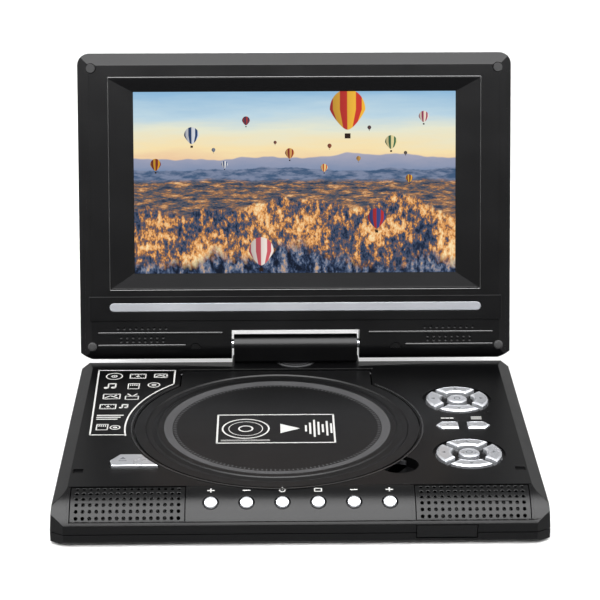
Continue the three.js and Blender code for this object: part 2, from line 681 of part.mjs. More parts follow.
const pinInner = block.across / 2 - tiltPin.inBlock;
const pinHole = alongX(circle(tiltPin.radius + gap, swivelY, tiltZ), pinInner - gap, width, 12);
const pinHoles = [pinHole, pinHole.mirror([1, 0, 0])];
const shaftSocket = roundZ(spigot.radius + gap, 0, swivelY, 0, shaftTop + spigot.height + gap);
const coverY = swivelY + block.coverFrom;
const rearOfBlock = box([-width, width], [coverY, depth + 40], [0, tiltZ + 40]);
const frontOfBlock = cut(blockForm(0), rearOfBlock.translate([0, -gap, 0]));
piece("swivel_block", cut(frontOfBlock, ...pinHoles, shaftSocket), "case_plastic");
const coverShell = cut(blockForm(0).intersect(rearOfBlock), blockForm(block.shell), shaftSocket);
piece("swivel_block_cover", coverShell, "case_plastic");
[-1, 1].forEach((side) => {
  const span = [pinInner, pinInner + tiltPin.length].map((x) => side * x).sort((a, b) => a - b);
  const pin = alongX(circle(tiltPin.radius, swivelY, tiltZ), span[0], span[1], 12);
  piece(`tilt_pin_${side < 0 ? "left" : "right"}`, pin, "steel");
});

// ---------------------------------------------------------------- screen panel

// In the panel's own frame the tilt axis is the X axis, +Z runs up the panel and -Y is its face.
const screen = new THREE.Group();
screen.position.set(0, swivelY, tiltZ);
screen.rotation.x = -panelLean;
player.add(screen);
const panelTop = panelHeight - halfPanel;
const fromBottom = (v) => v - halfPanel;

// The panel's outer form, or the same form shrunk by an inset.
function panelForm(inset) {
  const half = halfWidth - inset;
  const high = panelTop - inset;
  const face = halfPanel - inset;
  const edge = panelEdge.across - inset * 0.4;
  const side = new THREE.Shape();
  side.absarc(0, 0, face, Math.PI, 2 * Math.PI, false);
  side.lineTo(face, high - edge + 1);
  side.lineTo(face - panelEdge.rear, high);
  side.lineTo(-face + panelEdge.front, high);
  side.lineTo(-face, high - edge);
  const plan = polygon([
    [-half, -face + panelEdge.front], [-half + edge, -face],
    [half - edge, -face], [half, -face + panelEdge.front],
    [half, face - panelEdge.rear], [half - edge + 1, face],
    [-half + edge - 1, face], [-half, face - panelEdge.rear],
  ]);
  const outline = new THREE.Shape();
  const low = -face;
  outline.moveTo(-half + corner.across, low);
  outline.lineTo(half - corner.across, low);
  outline.lineTo(half, low + corner.back);
  const centre = high - panelCornerRadius;
  outline.absarc(half - panelCornerRadius, centre, panelCornerRadius, 0, Math.PI / 2, false);
  outline.absarc(-half + panelCornerRadius, centre, panelCornerRadius, Math.PI / 2, Math.PI, false);
  outline.lineTo(-half, low + corner.back);
  return alongX(side, -half, half, 20)
    .intersect(alongZ(plan, low - 1, high + 1))
    .intersect(alongY(outline, -face - 1, face + 1, 6));
}

const notch = (grow) => box([-notchHalf - grow, notchHalf + grow], [-20, 20], [-20, notchTop + grow]);
const panelCavity = cut(panelForm(panelWall), notch(panelWall));
const boreHalf = notchHalf + panelWall + 1;
const pinBore = alongX(circle(tiltPin.radius + gap, 0, 0), -boreHalf, boreHalf, 12);
const panelSolid = cut(panelForm(0), notch(0));
const frontHalf = box([-width, width], [-20, panelSeam], [-20, panelHeight + 20]);
const rearHalf = box([-width, width], [panelSeam + gap, 20], [-20, panelHeight + 20]);

// The picture opening: a sloping border from the face down to the glass.
const lcdBottom = fromBottom(lcd.bottom);
const lcdTop = lcdBottom + lcd.tall;
const glassY = -halfPanel + lcd.sunk;
const borderHalf = halfWidth - frameLip.side - panelEdge.across;
function borderOpening() {
  const outer = [borderHalf, lcdTop + frameLip.above, lcdBottom - frameLip.below];
  const inner = [lcd.across / 2, lcdTop, lcdBottom];
  const ring = ([half, high, low], y) => [[-half, y, low], [half, y, low], [half, y, high], [-half, y, high]];
  const points = [...ring(outer, -halfPanel - 0.01), ...ring(inner, glassY - 0.5)].flat();
  const faces = [
    0, 1, 2, 0, 2, 3, 4, 6, 5, 4, 7, 6, 0, 5, 1, 0, 4, 5,
    1, 6, 2, 1, 5, 6, 2, 7, 3, 2, 6, 7, 3, 4, 0, 3, 7, 4,
  ];
  const frustum = new THREE.BufferGeometry();
  frustum.setAttribute("position", new THREE.Float32BufferAttribute(points, 3));
  frustum.setIndex(faces);
  const through = box([-inner[0], inner[0]], [glassY - 0.6, 0], [inner[2], inner[1]]);
  return solid(frustum).add(through);
}

const bandHalf = halfWidth - band.fromSide - panelEdge.across / 2;
const bandZ = [fromBottom(band.bottom), fromBottom(band.bottom + band.tall)];
const bandBody = box([-bandHalf, bandHalf], [-halfPanel - band.proud, -halfPanel + 1], bandZ);
const stripHalf = halfWidth - strip.fromSide;
const stripFace = -halfPanel - band.proud - strip.proud;
function stripSolid(grow, from, to) {
  const low = fromBottom(strip.bottom) - grow;
  const high = low + strip.tall + 2 * grow;
  const round = (high - low) / 2 - 0.01;
  return alongY(rectangle(-stripHalf - grow, low, stripHalf + grow, high, round), from, to, 6);
}

const bumperZ = panelTop - bumper.fromTop;
const bumperX = halfWidth - bumper.fromSide;
function bumperSolid(side, grow, from, to) {
  return alongY(circle(bumper.radius + grow, side * bumperX, bumperZ), from, to, 16);
}

const bumperFace = -halfPanel - bumper.proud;
let bezel = join(cut(panelSolid, panelCavity).intersect(frontHalf), bandBody);
bezel = cut(
  bezel,
  borderOpening(),
  stripSolid(gap, -20, stripFace + strip.thickness + gap),
  pinBore,
  bumperSolid(-1, gap, -20, bumperFace + bumper.thickness + gap),
  bumperSolid(1, gap, -20, bumperFace + bumper.thickness + gap),
);
piece("screen_bezel", bezel, "case_plastic", screen);
const backCover = cut(panelSolid, panelCavity).intersect(rearHalf);
piece("screen_back_cover", cut(backCover, pinBore), "case_plastic", screen);
const lcdHalf = lcd.across / 2 + lcd.border;
const lcdBox = box(
  [-lcdHalf, lcdHalf],
  [glassY, glassY + lcd.thickness],
  [lcdBottom - lcd.border, lcdTop + lcd.border],
);
piece("lcd_panel", lcdBox, "screen", screen);
piece("screen_trim_strip", stripSolid(0, stripFace, stripFace + strip.thickness), "silver_plastic", screen);
[-1, 1].forEach((side) => {
  const name = side < 0 ? "left" : "right";
  const solid = bumperSolid(side, 0, bumperFace, bumperFace + bumper.thickness);
  piece(`screen_bumper_${name}`, solid, "rubber", screen);
  const from = notchHalf + panelWall + gap;
  const span = [from, from + bracket.across].map((x) => side * x).sort((a, b) => a - b);
  const half = halfPanel - panelWall - gap;
  const upright = box(span, [-half, half], [0, bracket.tall - half]);
  const plate = alongX(circle(half), span[0], span[1], 12).add(upright);
  const bore = alongX(circle(tiltPin.radius + gap, 0, 0), span[0] - 1, span[1] + 1, 12);
  piece(`tilt_bracket_${name}`, cut(plate, bore), "steel", screen);
});

// ---------------------------------------------------------------- origin

player.updateMatrixWorld(true);
const bounds = new THREE.Box3().setFromObject(player, true);
player.position.set(0, -(bounds.min.y + bounds.max.y) / 2, -bounds.min.z);

export default player;
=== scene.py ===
import math

import bmesh
import bpy
from mathutils import Matrix, Vector


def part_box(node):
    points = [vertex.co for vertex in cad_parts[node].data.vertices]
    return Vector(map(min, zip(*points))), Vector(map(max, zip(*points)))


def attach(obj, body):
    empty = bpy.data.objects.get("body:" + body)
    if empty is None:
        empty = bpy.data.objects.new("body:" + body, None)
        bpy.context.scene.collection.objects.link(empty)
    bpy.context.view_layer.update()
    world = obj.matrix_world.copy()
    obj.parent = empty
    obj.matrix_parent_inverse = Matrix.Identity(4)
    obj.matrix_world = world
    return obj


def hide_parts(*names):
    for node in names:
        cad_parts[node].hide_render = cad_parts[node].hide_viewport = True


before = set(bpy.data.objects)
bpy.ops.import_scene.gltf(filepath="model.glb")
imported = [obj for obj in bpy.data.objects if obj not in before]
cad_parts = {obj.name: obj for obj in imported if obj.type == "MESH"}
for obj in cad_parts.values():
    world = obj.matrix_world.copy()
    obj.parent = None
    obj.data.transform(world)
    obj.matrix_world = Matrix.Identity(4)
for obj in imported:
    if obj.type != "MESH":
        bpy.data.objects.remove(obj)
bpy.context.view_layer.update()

# ---------------------------------------------------------------- camera
# The player is looked at from the front and above, from about a metre away, with a long lens.
# The camera's place is in mm from the frame's origin, and its turns are in degrees.
mm = 0.001
camera_place = (-13.4, -934.5, 428.8)
looks_down = 20.48
looks_aside = 0.91
camera_data = bpy.data.cameras.new("camera")
camera_data.lens = 119.7
camera_data.sensor_width = 36
camera = bpy.data.objects.new("camera", camera_data)
camera.location = Vector(camera_place) * mm
camera.rotation_euler = (math.radians(90 - looks_down), 0, math.radians(-looks_aside))
bpy.context.collection.objects.link(camera)
bpy.context.scene.camera = camera


# ---------------------------------------------------------------- floor and light
# White background paper under the player, in a broad white room, with two soft boxes:
# one overhead, which lights the rounded front edge, and one in front.
def to_linear(hex_colour):
    """A sRGB hex value as a linear RGBA colour."""
    parts = [int(hex_colour[i : i + 2], 16) / 255 for i in (1, 3, 5)]
    return (*(c / 12.92 if c <= 0.04045 else ((c + 0.055) / 1.055) ** 2.4 for c in parts), 1)


def add_node(tree, kind, inputs=None, **settings):
    """A new node with its settings; an input is a value, an output socket, or a node's first output."""
    node = tree.nodes.new(kind)
    for key, value in settings.items():
        setattr(node, key, value)
    for key, value in (inputs or {}).items():
        source = value.outputs[0] if isinstance(value, bpy.types.Node) else value
        if isinstance(source, bpy.types.NodeSocket):
            tree.links.new(source, node.inputs[key])
        else:
            node.inputs[key].default_value = source
    return node


def new_material(name, colour, roughness, metallic=0.0):
    """A material with one Principled BSDF, its constants set on the shader's own sockets."""
    material = bpy.data.materials.new(name)
    material.use_nodes = True
    shader = material.node_tree.nodes["Principled BSDF"]
    shader.inputs["Base Color"].default_value = to_linear(colour)
    shader.inputs["Roughness"].default_value = roughness
    shader.inputs["Metallic"].default_value = metallic
    return material, material.node_tree, shader


gloss_patch = 18


def add_grain(tree, shader, grain, height, roughness_span):
    """A moulded grain this wide and high in mm, as a bump, and broad patches of more and less gloss."""
    surface = add_node(tree, "ShaderNodeTexCoord").outputs["Object"]
    fine = {"Vector": surface, "Scale": 1 / (grain * mm), "Detail": 3.0}
    specks = add_node(tree, "ShaderNodeTexNoise", fine)
    bump = add_node(tree, "ShaderNodeBump", {"Height": specks, "Distance": height * mm})
    tree.links.new(bump.outputs["Normal"], shader.inputs["Normal"])
    broad = {"Vector": surface, "Scale": 1 / (gloss_patch * mm), "Detail": 4.0}
    patches = add_node(tree, "ShaderNodeTexNoise", broad)
    low, high = roughness_span
    gloss = add_node(tree, "ShaderNodeMapRange", {"Value": patches, "To Min": low, "To Max": high})
    tree.links.new(gloss.outputs["Result"], shader.inputs["Roughness"])


floor_size = 9
bpy.ops.mesh.primitive_plane_add(size=floor_size, location=(0, 0, 0))
floor = bpy.context.active_object
floor.name = "floor"
paper, _, _ = new_material("background_paper", "#ffffff", 0.9)
floor.data.materials.append(paper)

bpy.context.scene.view_settings.view_transform = "Standard"
world = bpy.data.worlds.new("studio")
world.use_nodes = True
background = world.node_tree.nodes["Background"]
background.inputs["Color"].default_value = (1, 1, 1, 1)
sky_place = add_node(world.node_tree, "ShaderNodeTexCoord").outputs["Generated"]
sky_height = add_node(world.node_tree, "ShaderNodeSeparateXYZ", {"Vector": sky_place}).outputs["Z"]
sky_light = {"Value": sky_height, "From Min": 0.1, "From Max": 0.55, "To Min": 0.4, "To Max": 0.9}
room = add_node(world.node_tree, "ShaderNodeMapRange", sky_light)
world.node_tree.links.new(room.outputs["Result"], background.inputs["Strength"])
bpy.context.scene.world = world
soft_boxes = {
    "overhead": {"at": (0, -0.25, 1.1), "towards": (0, -0.05, 0), "size": (1.2, 0.35), "watts": 6},
    "front": {"at": (-0.2, -1.5, 1.6), "towards": (0, 0, 0.05), "size": (1.8, 0.9), "watts": 22},
}
# White cards that show only as reflections: in front for the rounded front edge, overhead for the flat
# tops, and one each side for the chamfers.
cards = {
    "front_card": {"at": (0, -1.15, 1.5), "towards": (0, -0.1, 0), "size": (2.4, 1.3), "watts": 230},
    "overhead_card": {"at": (0, -0.2, 1.8), "towards": (0, -0.1, 0), "size": (2.4, 0.9), "watts": 130},
    "left_card": {"at": (-1.5, -0.1, 1.0), "towards": (0, 0, 0), "size": (1.6, 0.9), "watts": 110},
    "right_card": {"at": (1.5, -0.1, 1.0), "towards": (0, 0, 0), "size": (1.6, 0.9), "watts": 110},
}
soft_boxes.update(cards)
for box_name, box in soft_boxes.items():
    light_data = bpy.data.lights.new(box_name, "AREA")
    light_data.shape = "RECTANGLE"
    light_data.size, light_data.size_y = box["size"]
    light_data.energy = box["watts"]
    light = bpy.data.objects.new(box_name, light_data)
    light.location = box["at"]
    light.visible_diffuse = box_name not in cards
    light.rotation_euler = (Vector(box["towards"]) - light.location).to_track_quat("-Z", "Y").to_euler()
    bpy.context.collection.objects.link(light)

# ---------------------------------------------------------------- case shells
# Two injection-moulded halves in black ABS with a fine spark-eroded grain, screwed together from below.
# Places here are in mm from the case's front face, its middle and the table.
front_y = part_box("base_top_cover")[0][1]
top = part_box("disc_lid")[1][2] / mm
case_half = 115


def place(x, y, z):
    """A point measured in mm from the case's front face, its middle and the table, in the frame."""
    return Vector((x * mm, front_y + y * mm, z * mm))


def only(piece):
    """Makes this piece the one that the operators work on."""
    bpy.ops.object.select_all(action="DESELECT")
    piece.select_set(True)
    bpy.context.view_layer.objects.active = piece


def edit(piece):
    """Opens the piece for editing with everything in it selected."""
    only(piece)
    bpy.ops.object.mode_set(mode="EDIT")
    bpy.ops.mesh.select_all(action="SELECT")


def close(piece):
    """Ends editing: merges doubled vertices and turns every face outwards."""
    bpy.ops.mesh.select_all(action="SELECT")
    bpy.ops.mesh.remove_doubles(threshold=0.001 * mm)
    bpy.ops.mesh.normals_make_consistent(inside=False)
    bpy.ops.object.mode_set(mode="OBJECT")
    return piece


def select_faces(piece, wanted):
    """While editing, selects the faces whose centre and normal pass the test."""
    bpy.ops.mesh.select_mode(type="FACE")
    mesh = bmesh.from_edit_mesh(piece.data)
    for face in mesh.faces:
        face.select_set(bool(wanted(face.calc_center_median(), face.normal)))
    bmesh.update_edit_mesh(piece.data)


def settle(piece, name=None, matrix=None):
    """Writes the piece's place into its mesh, after moving it by a matrix."""
    if matrix is not None:
        piece.matrix_world = matrix @ piece.matrix_world
    if name:
        piece.name = name
    only(piece)
    bpy.ops.object.transform_apply(location=True, rotation=True, scale=True)
    return piece


def apply_modifier(piece, kind, **settings):
    """Adds a modifier to the piece and applies it."""
    modifier = piece.modifiers.new("step", kind)
    for key, value in settings.items():
        setattr(modifier, key, value)
    only(piece)
    bpy.ops.object.modifier_apply(modifier=modifier.name)
    return piece


def cut(piece, *tools, operation="DIFFERENCE"):
    """Takes the tools away from the piece, or joins them to it, and removes them."""
    for tool in tools:
        apply_modifier(piece, "BOOLEAN", object=tool, operation=operation, solver="EXACT")
        bpy.data.objects.remove(tool)
    return piece


def soften(piece, width=0.25, segments=2, sharper_than=28, smooth_below=32, clamp=False):
    """Rounds the sharp edges and smooths the shading across the rest."""
    settings = {"width": width * mm, "segments": segments, "angle_limit": math.radians(sharper_than)}
    apply_modifier(piece, "BEVEL", limit_method="ANGLE", use_clamp_overlap=clamp, **settings)
    bpy.ops.object.shade_smooth_by_angle(angle=math.radians(smooth_below))
    return apply_modifier(piece, "WEIGHTED_NORMAL", keep_sharp=True)


def copy_node(node, name):
    """A new piece with a copy of a CAD node's mesh, its flat areas joined into single faces."""
    piece = bpy.data.objects.new(name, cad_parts[node].data.copy())
    piece.data.materials.clear()
    bpy.context.collection.objects.link(piece)
    edit(piece)
    bpy.ops.mesh.customdata_custom_splitnormals_clear()
    bpy.ops.mesh.remove_doubles(threshold=0.02 * mm)
    bpy.ops.mesh.dissolve_limited(angle_limit=math.radians(0.6))
    return close(piece)


def fit(piece, material, body, slot_name, *nodes):
    """The piece's finish, the body it moves with and the CAD nodes it stands for."""
    piece.data.materials.clear()
    piece.data.materials.append(material)
    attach(piece, body)
    if nodes:
        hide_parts(*nodes)
    return piece


def block(x, y, z, matrix=None):
    """A box between two ends on each axis, in mm."""
    middle = place(*((a + b) / 2 for a, b in (x, y, z)))
    size = [abs(b - a) * mm for a, b in (x, y, z)]
    bpy.ops.mesh.primitive_cube_add(size=1, location=middle, scale=size)
    return settle(bpy.context.active_object, matrix=matrix)


def turned(profile, x=0, y=0, sides=48, matrix=None):
    """A round solid about an upright axis, drawn upwards through each radius and height in mm."""
    radius, height = profile[0]
    centre = place(x, y, height)
    disc = {"vertices": sides, "radius": radius * mm, "fill_type": "NGON"}
    bpy.ops.mesh.primitive_circle_add(location=centre, **disc)
    piece = bpy.context.active_object
    edit(piece)
    for next_radius, next_height in profile[1:]:
        rise = (0, 0, (next_height - height) * mm)
        bpy.ops.mesh.extrude_region_move(TRANSFORM_OT_translate={"value": rise})
        share = next_radius / radius
        bpy.ops.transform.resize(value=(share, share, 1), center_override=centre)
        radius, height = next_radius, next_height
    close(piece)
    return settle(piece, matrix=matrix)


def joined(pieces, name):
    """One piece from several."""
    bpy.ops.object.select_all(action="DESELECT")
    for piece in pieces:
        piece.select_set(True)
    bpy.context.view_layer.objects.active = pieces[0]
    bpy.ops.object.join()
    pieces[0].name = name
    return pieces[0]


# Black ABS: nearly black, with a fine grain that makes broad soft reflections.
abs_black, abs_tree, abs_shader = new_material("black_abs_spark_grain", "#060607", 0.3)
abs_shader.inputs["Specular IOR Level"].default_value = 0.08
add_grain(abs_tree, abs_shader, 0.35, 0.01, (0.25, 0.35))

# Thin raised lips and ribs leave the mould polished, so they catch the light.
polished, polished_tree, polished_shader = new_material("polished_abs_lip", "#0c0c0d", 0.25)
polished_shader.inputs["Specular IOR Level"].default_value = 0.5
add_grain(polished_tree, polished_shader, 0.3, 0.005, (0.22, 0.3))

# Two shallow pockets in the case's top take the closed screen's upper bumpers.
top_cover = copy_node("base_top_cover", "case_top")
pocket_x = 105
pocket_half = 2.4
pocket_y = (33.5, 38)
pocket_z = (top - 0.9, top + 1)
pockets = []
for middle in (-pocket_x, pocket_x):
    pockets.append(block((middle - pocket_half, middle + pocket_half), pocket_y, pocket_z))
cut(top_cover, *pockets)
soften(top_cover, 0.15)
fit(top_cover, abs_black, "base", "case_plastic", "base_top_cover")

# The underside has six wells for screws, a row of cooling vents and a shallow recess for a label.
case_bottom = copy_node("base_bottom_cover", "case_bottom")
screw_places = [(-98, 40), (98, 40), (-98, 140), (98, 140), (-34, 30), (34, 30)]
underside = 1.5
screw_well_radius = 3.2
screw_well = [(screw_well_radius, 0), (screw_well_radius, underside + 1.2)]
wells = [turned(screw_well, x, y, 32) for x, y in screw_places]
vent_x = (-60, -20)
vent_z = (0, underside + 1.1)
vent_width = 2
vent_pitch = 5
vents = [block(vent_x, (y, y + vent_width), vent_z) for y in range(66, 110, vent_pitch)]
label_recess = block((10, 78), (70, 112), (0, underside + 0.3))
cut(case_bottom, *wells, *vents, label_recess)
soften(case_bottom, 0.2)
fit(case_bottom, abs_black, "base", "case_plastic", "base_bottom_cover")

# ---------------------------------------------------------------- disc lid
# The lid is one black ABS moulding, held by a pin through its straight rear tab: a flat rim,
# a shallow round groove, a bevelled step and a sunk middle, in a finer grain than the case's.
lid_x = -10.3
lid_y = 87.8
disc_lid = copy_node("disc_lid", "disc_lid_moulding")
lid_floor = top - 0.7
slope_inner, slope_outer = 52.2, 56.4
dish = [
    (slope_inner, lid_floor),
    (slope_outer, top - 0.12),
    (59.3, top - 0.12),
    (60.0, top - 0.6),
    (62.4, top - 0.9),
    (64.8, top - 0.6),
    (65.6, top + 0.02),
    (65.6, top + 1),
]
cut(disc_lid, turned(dish, lid_x, lid_y, 160))
soften(disc_lid, 0.15, sharper_than=9, smooth_below=28)
# Fine-grained ABS: as black as the case, with a little more sheen.
lid_black, lid_tree, lid_shader = new_material("lid_abs_fine_grain", "#070708", 0.3)
lid_shader.inputs["Specular IOR Level"].default_value = 0.1
add_grain(lid_tree, lid_shader, 0.22, 0.008, (0.3, 0.4))
fit(disc_lid, lid_black, "disc_lid", "case_plastic", "disc_lid")

# The slope round the sunk middle and the short ticks just inside it have a coarser grain, and a grey
# colour that is painted sheen: it stands for the light the slope catches at its sides.
painted_sheen_grey, painted_sheen_tree, painted_sheen_shader = new_material("painted_sheen_grey_ring", "#2c2c2e", 0.45)
painted_sheen_shader.inputs["Specular IOR Level"].default_value = 0.3
add_grain(painted_sheen_tree, painted_sheen_shader, 0.6, 0.02, (0.45, 0.6))
disc_lid.data.materials.append(painted_sheen_grey)
lid_middle = place(lid_x, lid_y, 0)
for face in disc_lid.data.polygons:
    reach = math.hypot(face.center.x - lid_middle.x, face.center.y - lid_middle.y) / mm
    if slope_inner < reach < slope_outer and 0.9 < face.normal.z < 0.999:
        face.material_index = 1

# ---------------------------------------------------------------- printed marks
# White ink, pad-printed on the case and the lid and a few hundredths of a millimetre thick:
# plain pictures of what the player plays, and signs beside the keys.
pad_x = case_half - 32.7
pad_ys = (52.8, 118.3)
ink_height = 0.03

# White ink: flat and a little chalky.
ink, ink_tree, ink_shader = new_material("white_pad_print_ink", "#cfcfcc", 0.5)
add_grain(ink_tree, ink_shader, 0.4, 0.004, (0.42, 0.58))


def stroke(x, y, to_x, to_y, thick=0.8, base=top, height=ink_height):
    """A straight printed line between two points."""
    length = math.hypot(to_x - x, to_y - y) + thick * 0.5
    middle = place((x + to_x) / 2, (y + to_y) / 2, base + height / 2)
    turn = math.atan2(to_y - y, to_x - x)
    size = (length * mm, thick * mm, height * mm)
    bpy.ops.mesh.primitive_cube_add(size=1, location=middle, rotation=(0, 0, turn), scale=size)
    return settle(bpy.context.active_object)


def spot(x, y, radius, sides=20, turn=0.0, base=top):
    """A printed dot, or a triangle or diamond with fewer sides."""
    where = {"location": place(x, y, base), "rotation": (0, 0, math.radians(turn))}
    bpy.ops.mesh.primitive_circle_add(vertices=sides, radius=radius * mm, fill_type="NGON", **where)
    mark = bpy.context.active_object
    edit(mark)
    bpy.ops.mesh.extrude_region_move(TRANSFORM_OT_translate={"value": (0, 0, ink_height * mm)})
    return settle(close(mark))


def hoop(x, y, radius, thick=0.6, sides=32, base=top, keep=None, height=ink_height):
    """A printed ring, or the part of it that passes the test."""
    outer = (radius + thick / 2) * mm
    disc = {"vertices": sides, "radius": outer, "fill_type": "NGON"}
    bpy.ops.mesh.primitive_circle_add(location=place(x, y, base), **disc)
    mark = bpy.context.active_object
    edit(mark)
    bpy.ops.mesh.inset(thickness=thick * mm)
    bpy.ops.mesh.delete(type="FACE")
    if keep:
        origin = mark.location
        select_faces(mark, lambda centre, normal: not keep(centre + origin))
        bpy.ops.mesh.delete(type="FACE")
    bpy.ops.mesh.select_all(action="SELECT")
    bpy.ops.mesh.extrude_region_move(TRANSFORM_OT_translate={"value": (0, 0, height * mm)})
    return settle(close(mark))


def outline(x, y, across, along, thick=0.6, base=top):
    """A printed rectangle's outline."""
    left, right = x - across / 2, x + across / 2
    low, high = y - along / 2, y + along / 2
    ends = [(left, low), (right, low), (right, high), (left, high), (left, low)]
    return [stroke(*ends[i], *ends[i + 1], thick, base) for i in range(4)]


def disc_sign(x, y, size):
    """A disc with its hub."""
    return [hoop(x, y, size), hoop(x, y, size * 0.32), spot(x, y, size * 0.12)]


def film_sign(x, y, size):
    """A strip of film with a play sign."""
    holes = []
    for i in range(5):
        for side in (-1, 1):
            holes.append(spot(x + size * (i - 2) * 0.45, y + side * size * 0.55, 0.35, 4, 45))
    return outline(x, y, size * 2.4, size * 1.7) + holes + [spot(x, y, size * 0.4, 3, 0)]


def note_sign(x, y, size):
    """Two music notes under one beam."""
    left, right, high = x - size * 0.5, x + size * 0.6, y + size
    stems = [stroke(left, y - size * 0.6, left, high), stroke(right, y - size * 0.4, right, high)]
    beam = stroke(left, high, right, high, 1.2)
    left_head = spot(x - size * 0.8, y - size * 0.6, size * 0.36)
    right_head = spot(x + size * 0.3, y - size * 0.5, size * 0.36)
    return stems + [beam, left_head, right_head]


def photo_sign(x, y, size):
    """A photo of a hill and the sun."""
    peak = (x - size * 0.2, y + size * 0.3)
    foot = y - size * 0.5
    hill = [stroke(x - size, foot, *peak), stroke(*peak, x + size * 0.9, foot)]
    edges = outline(x, y, size * 2.5, size * 1.8)
    return edges + hill + [spot(x + size * 0.6, y + size * 0.4, size * 0.2)]


def card_sign(x, y, size):
    """A memory card with its contacts."""
    pin_xs = [x - size * 0.5 + i * size * 0.33 for i in range(4)]
    pins = [stroke(pin_x, y + size * 0.2, pin_x, y + size * 0.7, 0.5) for pin_x in pin_xs]
    return outline(x, y, size * 1.7, size * 2.1) + pins


def aerial_sign(x, y, size):
    """A television with two aerial rods."""
    rods = [stroke(x, y, x + side * size * 0.8, y + size * 1.1) for side in (-1, 1)]
    return outline(x, y - size * 0.6, size * 2.2, size * 1.4) + rods


# A line runs round the printed panel, straight on three sides and curved beside the lid.
print_right = -64.2
print_low = 77
print_high = 141.2
print_corner = (-104.7, 160.3)


def beside_print(centre):
    """Whether a place on the curved line borders the printed panel."""
    low, high = place(0, print_low, 0).y, place(0, print_high, 0).y
    return centre.x < print_right * mm and low < centre.y < high


marks = [
    stroke(*print_corner, print_right, 159.6),
    stroke(print_right, 159.6, print_right, print_high),
    stroke(-85.4, print_low, -102.8, 77.2),
    stroke(-102.8, 77.2, *print_corner),
    hoop(lid_x, lid_y, 75.8, 0.8, 200, keep=beside_print),
]
marks += disc_sign(-96, 152, 4.2) + film_sign(-83.5, 152, 3.4) + photo_sign(-71.5, 152.4, 2.6)
marks += note_sign(-96.5, 138.5, 3.4) + card_sign(-85, 138.5, 3.3) + disc_sign(-74.5, 140, 3)
marks += photo_sign(-95.5, 125, 3.4) + aerial_sign(-85, 125, 3.0)
marks += film_sign(-96.5, 112, 3.3) + note_sign(-88, 112, 2.4)
marks += [stroke(-101, 101 - i * 2.4, -88 - i * 1.4, 101 - i * 2.4, 1) for i in range(3)]
marks += card_sign(-97.5, 86.5, 3.2) + disc_sign(-91, 86, 2.4)
bar_y = sum(pad_ys) / 2
# Over the two bar keys stand three dashes and three lines.
dash_y = bar_y + 9.3
for i in range(3):
    marks.append(stroke(pad_x - 10 + i * 2.2, dash_y, pad_x - 8.6 + i * 2.2, dash_y, 1.1))
for i in range(3):
    line_y = bar_y + 8.1 + i * 1.3
    marks.append(stroke(pad_x + 5, line_y, pad_x + 10, line_y, 0.6))
case_print = joined(marks, "case_print")
fit(case_print, ink, "base", "case_plastic")

# A thin raised lip on the case follows the lid's round edge and its straight rear edge.
lip_radius = 72.6
lip_height = 0.3


def beside_tab(centre):
    """Whether a place on the lip lies clear of the lid's straight tab."""
    return abs(centre.x - lid_x * mm) > 51.5 * mm or centre.y < lid_middle.y


case_lip = [
    hoop(lid_x, lid_y, lip_radius, 0.7, 200, keep=beside_tab, height=lip_height),
    stroke(lid_x - 51.6, 160.5, lid_x + 51.1, 160.5, 0.7, height=lip_height),
]
lip_piece = joined(case_lip, "lid_surround_lip")
soften(lip_piece, 0.12)
fit(lip_piece, polished, "base", "case_plastic")

# A ring of short ticks runs just inside the lid's grey slope.
tick_count = 150
near, far = 50.4, 51.6
ticks = []
for index in range(tick_count):
    turn = 2 * math.pi * index / tick_count
    ticks.append(
        stroke(
            lid_x + near * math.cos(turn),
            lid_y + near * math.sin(turn),
            lid_x + far * math.cos(turn),
            lid_y + far * math.sin(turn),
            0.7,
            lid_floor,
        )
    )
tick_ring = joined(ticks, "lid_tick_ring")
# The ticks take the slope's painted grey sheen as well.
fit(tick_ring, painted_sheen_grey, "disc_lid", "case_plastic")

# The lid's mark: a disc, a play sign and sound bars in a plain frame.
emblem_y = 85
emblem = outline(-11, emblem_y, 58, 34, 0.9, lid_floor)
for radius, thick, sides in ((11.5, 0.8, 64), (8.4, 0.4, 64), (3.4, 0.8, 40)):
    emblem.append(hoop(-26, emblem_y, radius, thick, sides, lid_floor))
emblem.append(spot(-5.5, emblem_y, 6.5, 3, -90, lid_floor))
bar_heights = (7, 13, 20, 15, 9, 17, 11)
for index, tall in enumerate(bar_heights):
    bar_x = 4 + index * 2.1
    emblem.append(stroke(bar_x, emblem_y - tall / 2, bar_x, emblem_y + tall / 2, 1, lid_floor))
for line_y in (70.5, 71.5):
    emblem.append(stroke(-38, line_y, -14, line_y, 0.3, lid_floor))
lid_print = joined(emblem, "lid_print")
fit(lid_print, ink, "disc_lid", "case_plastic")

# ---------------------------------------------------------------- keys
# Keys are moulded in ABS and painted bright silver. Each has a rounded cap,
# and a rim under the case wall that holds it in its hole.

# Silver paint: bright and a little satin, with a fleck too fine to see.
key_silver, key_tree, key_shader = new_material("silver_painted_keys", "#b0b2b6", 0.28, 0.6)
add_grain(key_tree, key_shader, 0.12, 0.003, (0.22, 0.34))


sunk_border = 0.25
sunk_depth = 0.15


def key_cap(node, slope, drop):
    """A key whose top rises by the drop over a sloping border, to a slightly sunk middle, in mm."""
    piece = copy_node(node, node + "_cap")
    high = max(vertex.co.z for vertex in piece.data.vertices)
    edit(piece)
    select_faces(piece, lambda centre, normal: normal.z > 0.9 and centre.z > high - 0.05 * mm)
    bpy.ops.transform.translate(value=(0, 0, -drop * mm))
    bpy.ops.mesh.inset(thickness=slope * mm, depth=drop * mm)
    bpy.ops.mesh.inset(thickness=sunk_border * mm, depth=-sunk_depth * mm)
    close(piece)
    soften(piece, 0.08, sharper_than=20, smooth_below=25)
    return fit(piece, key_silver, node, "silver_plastic", node)


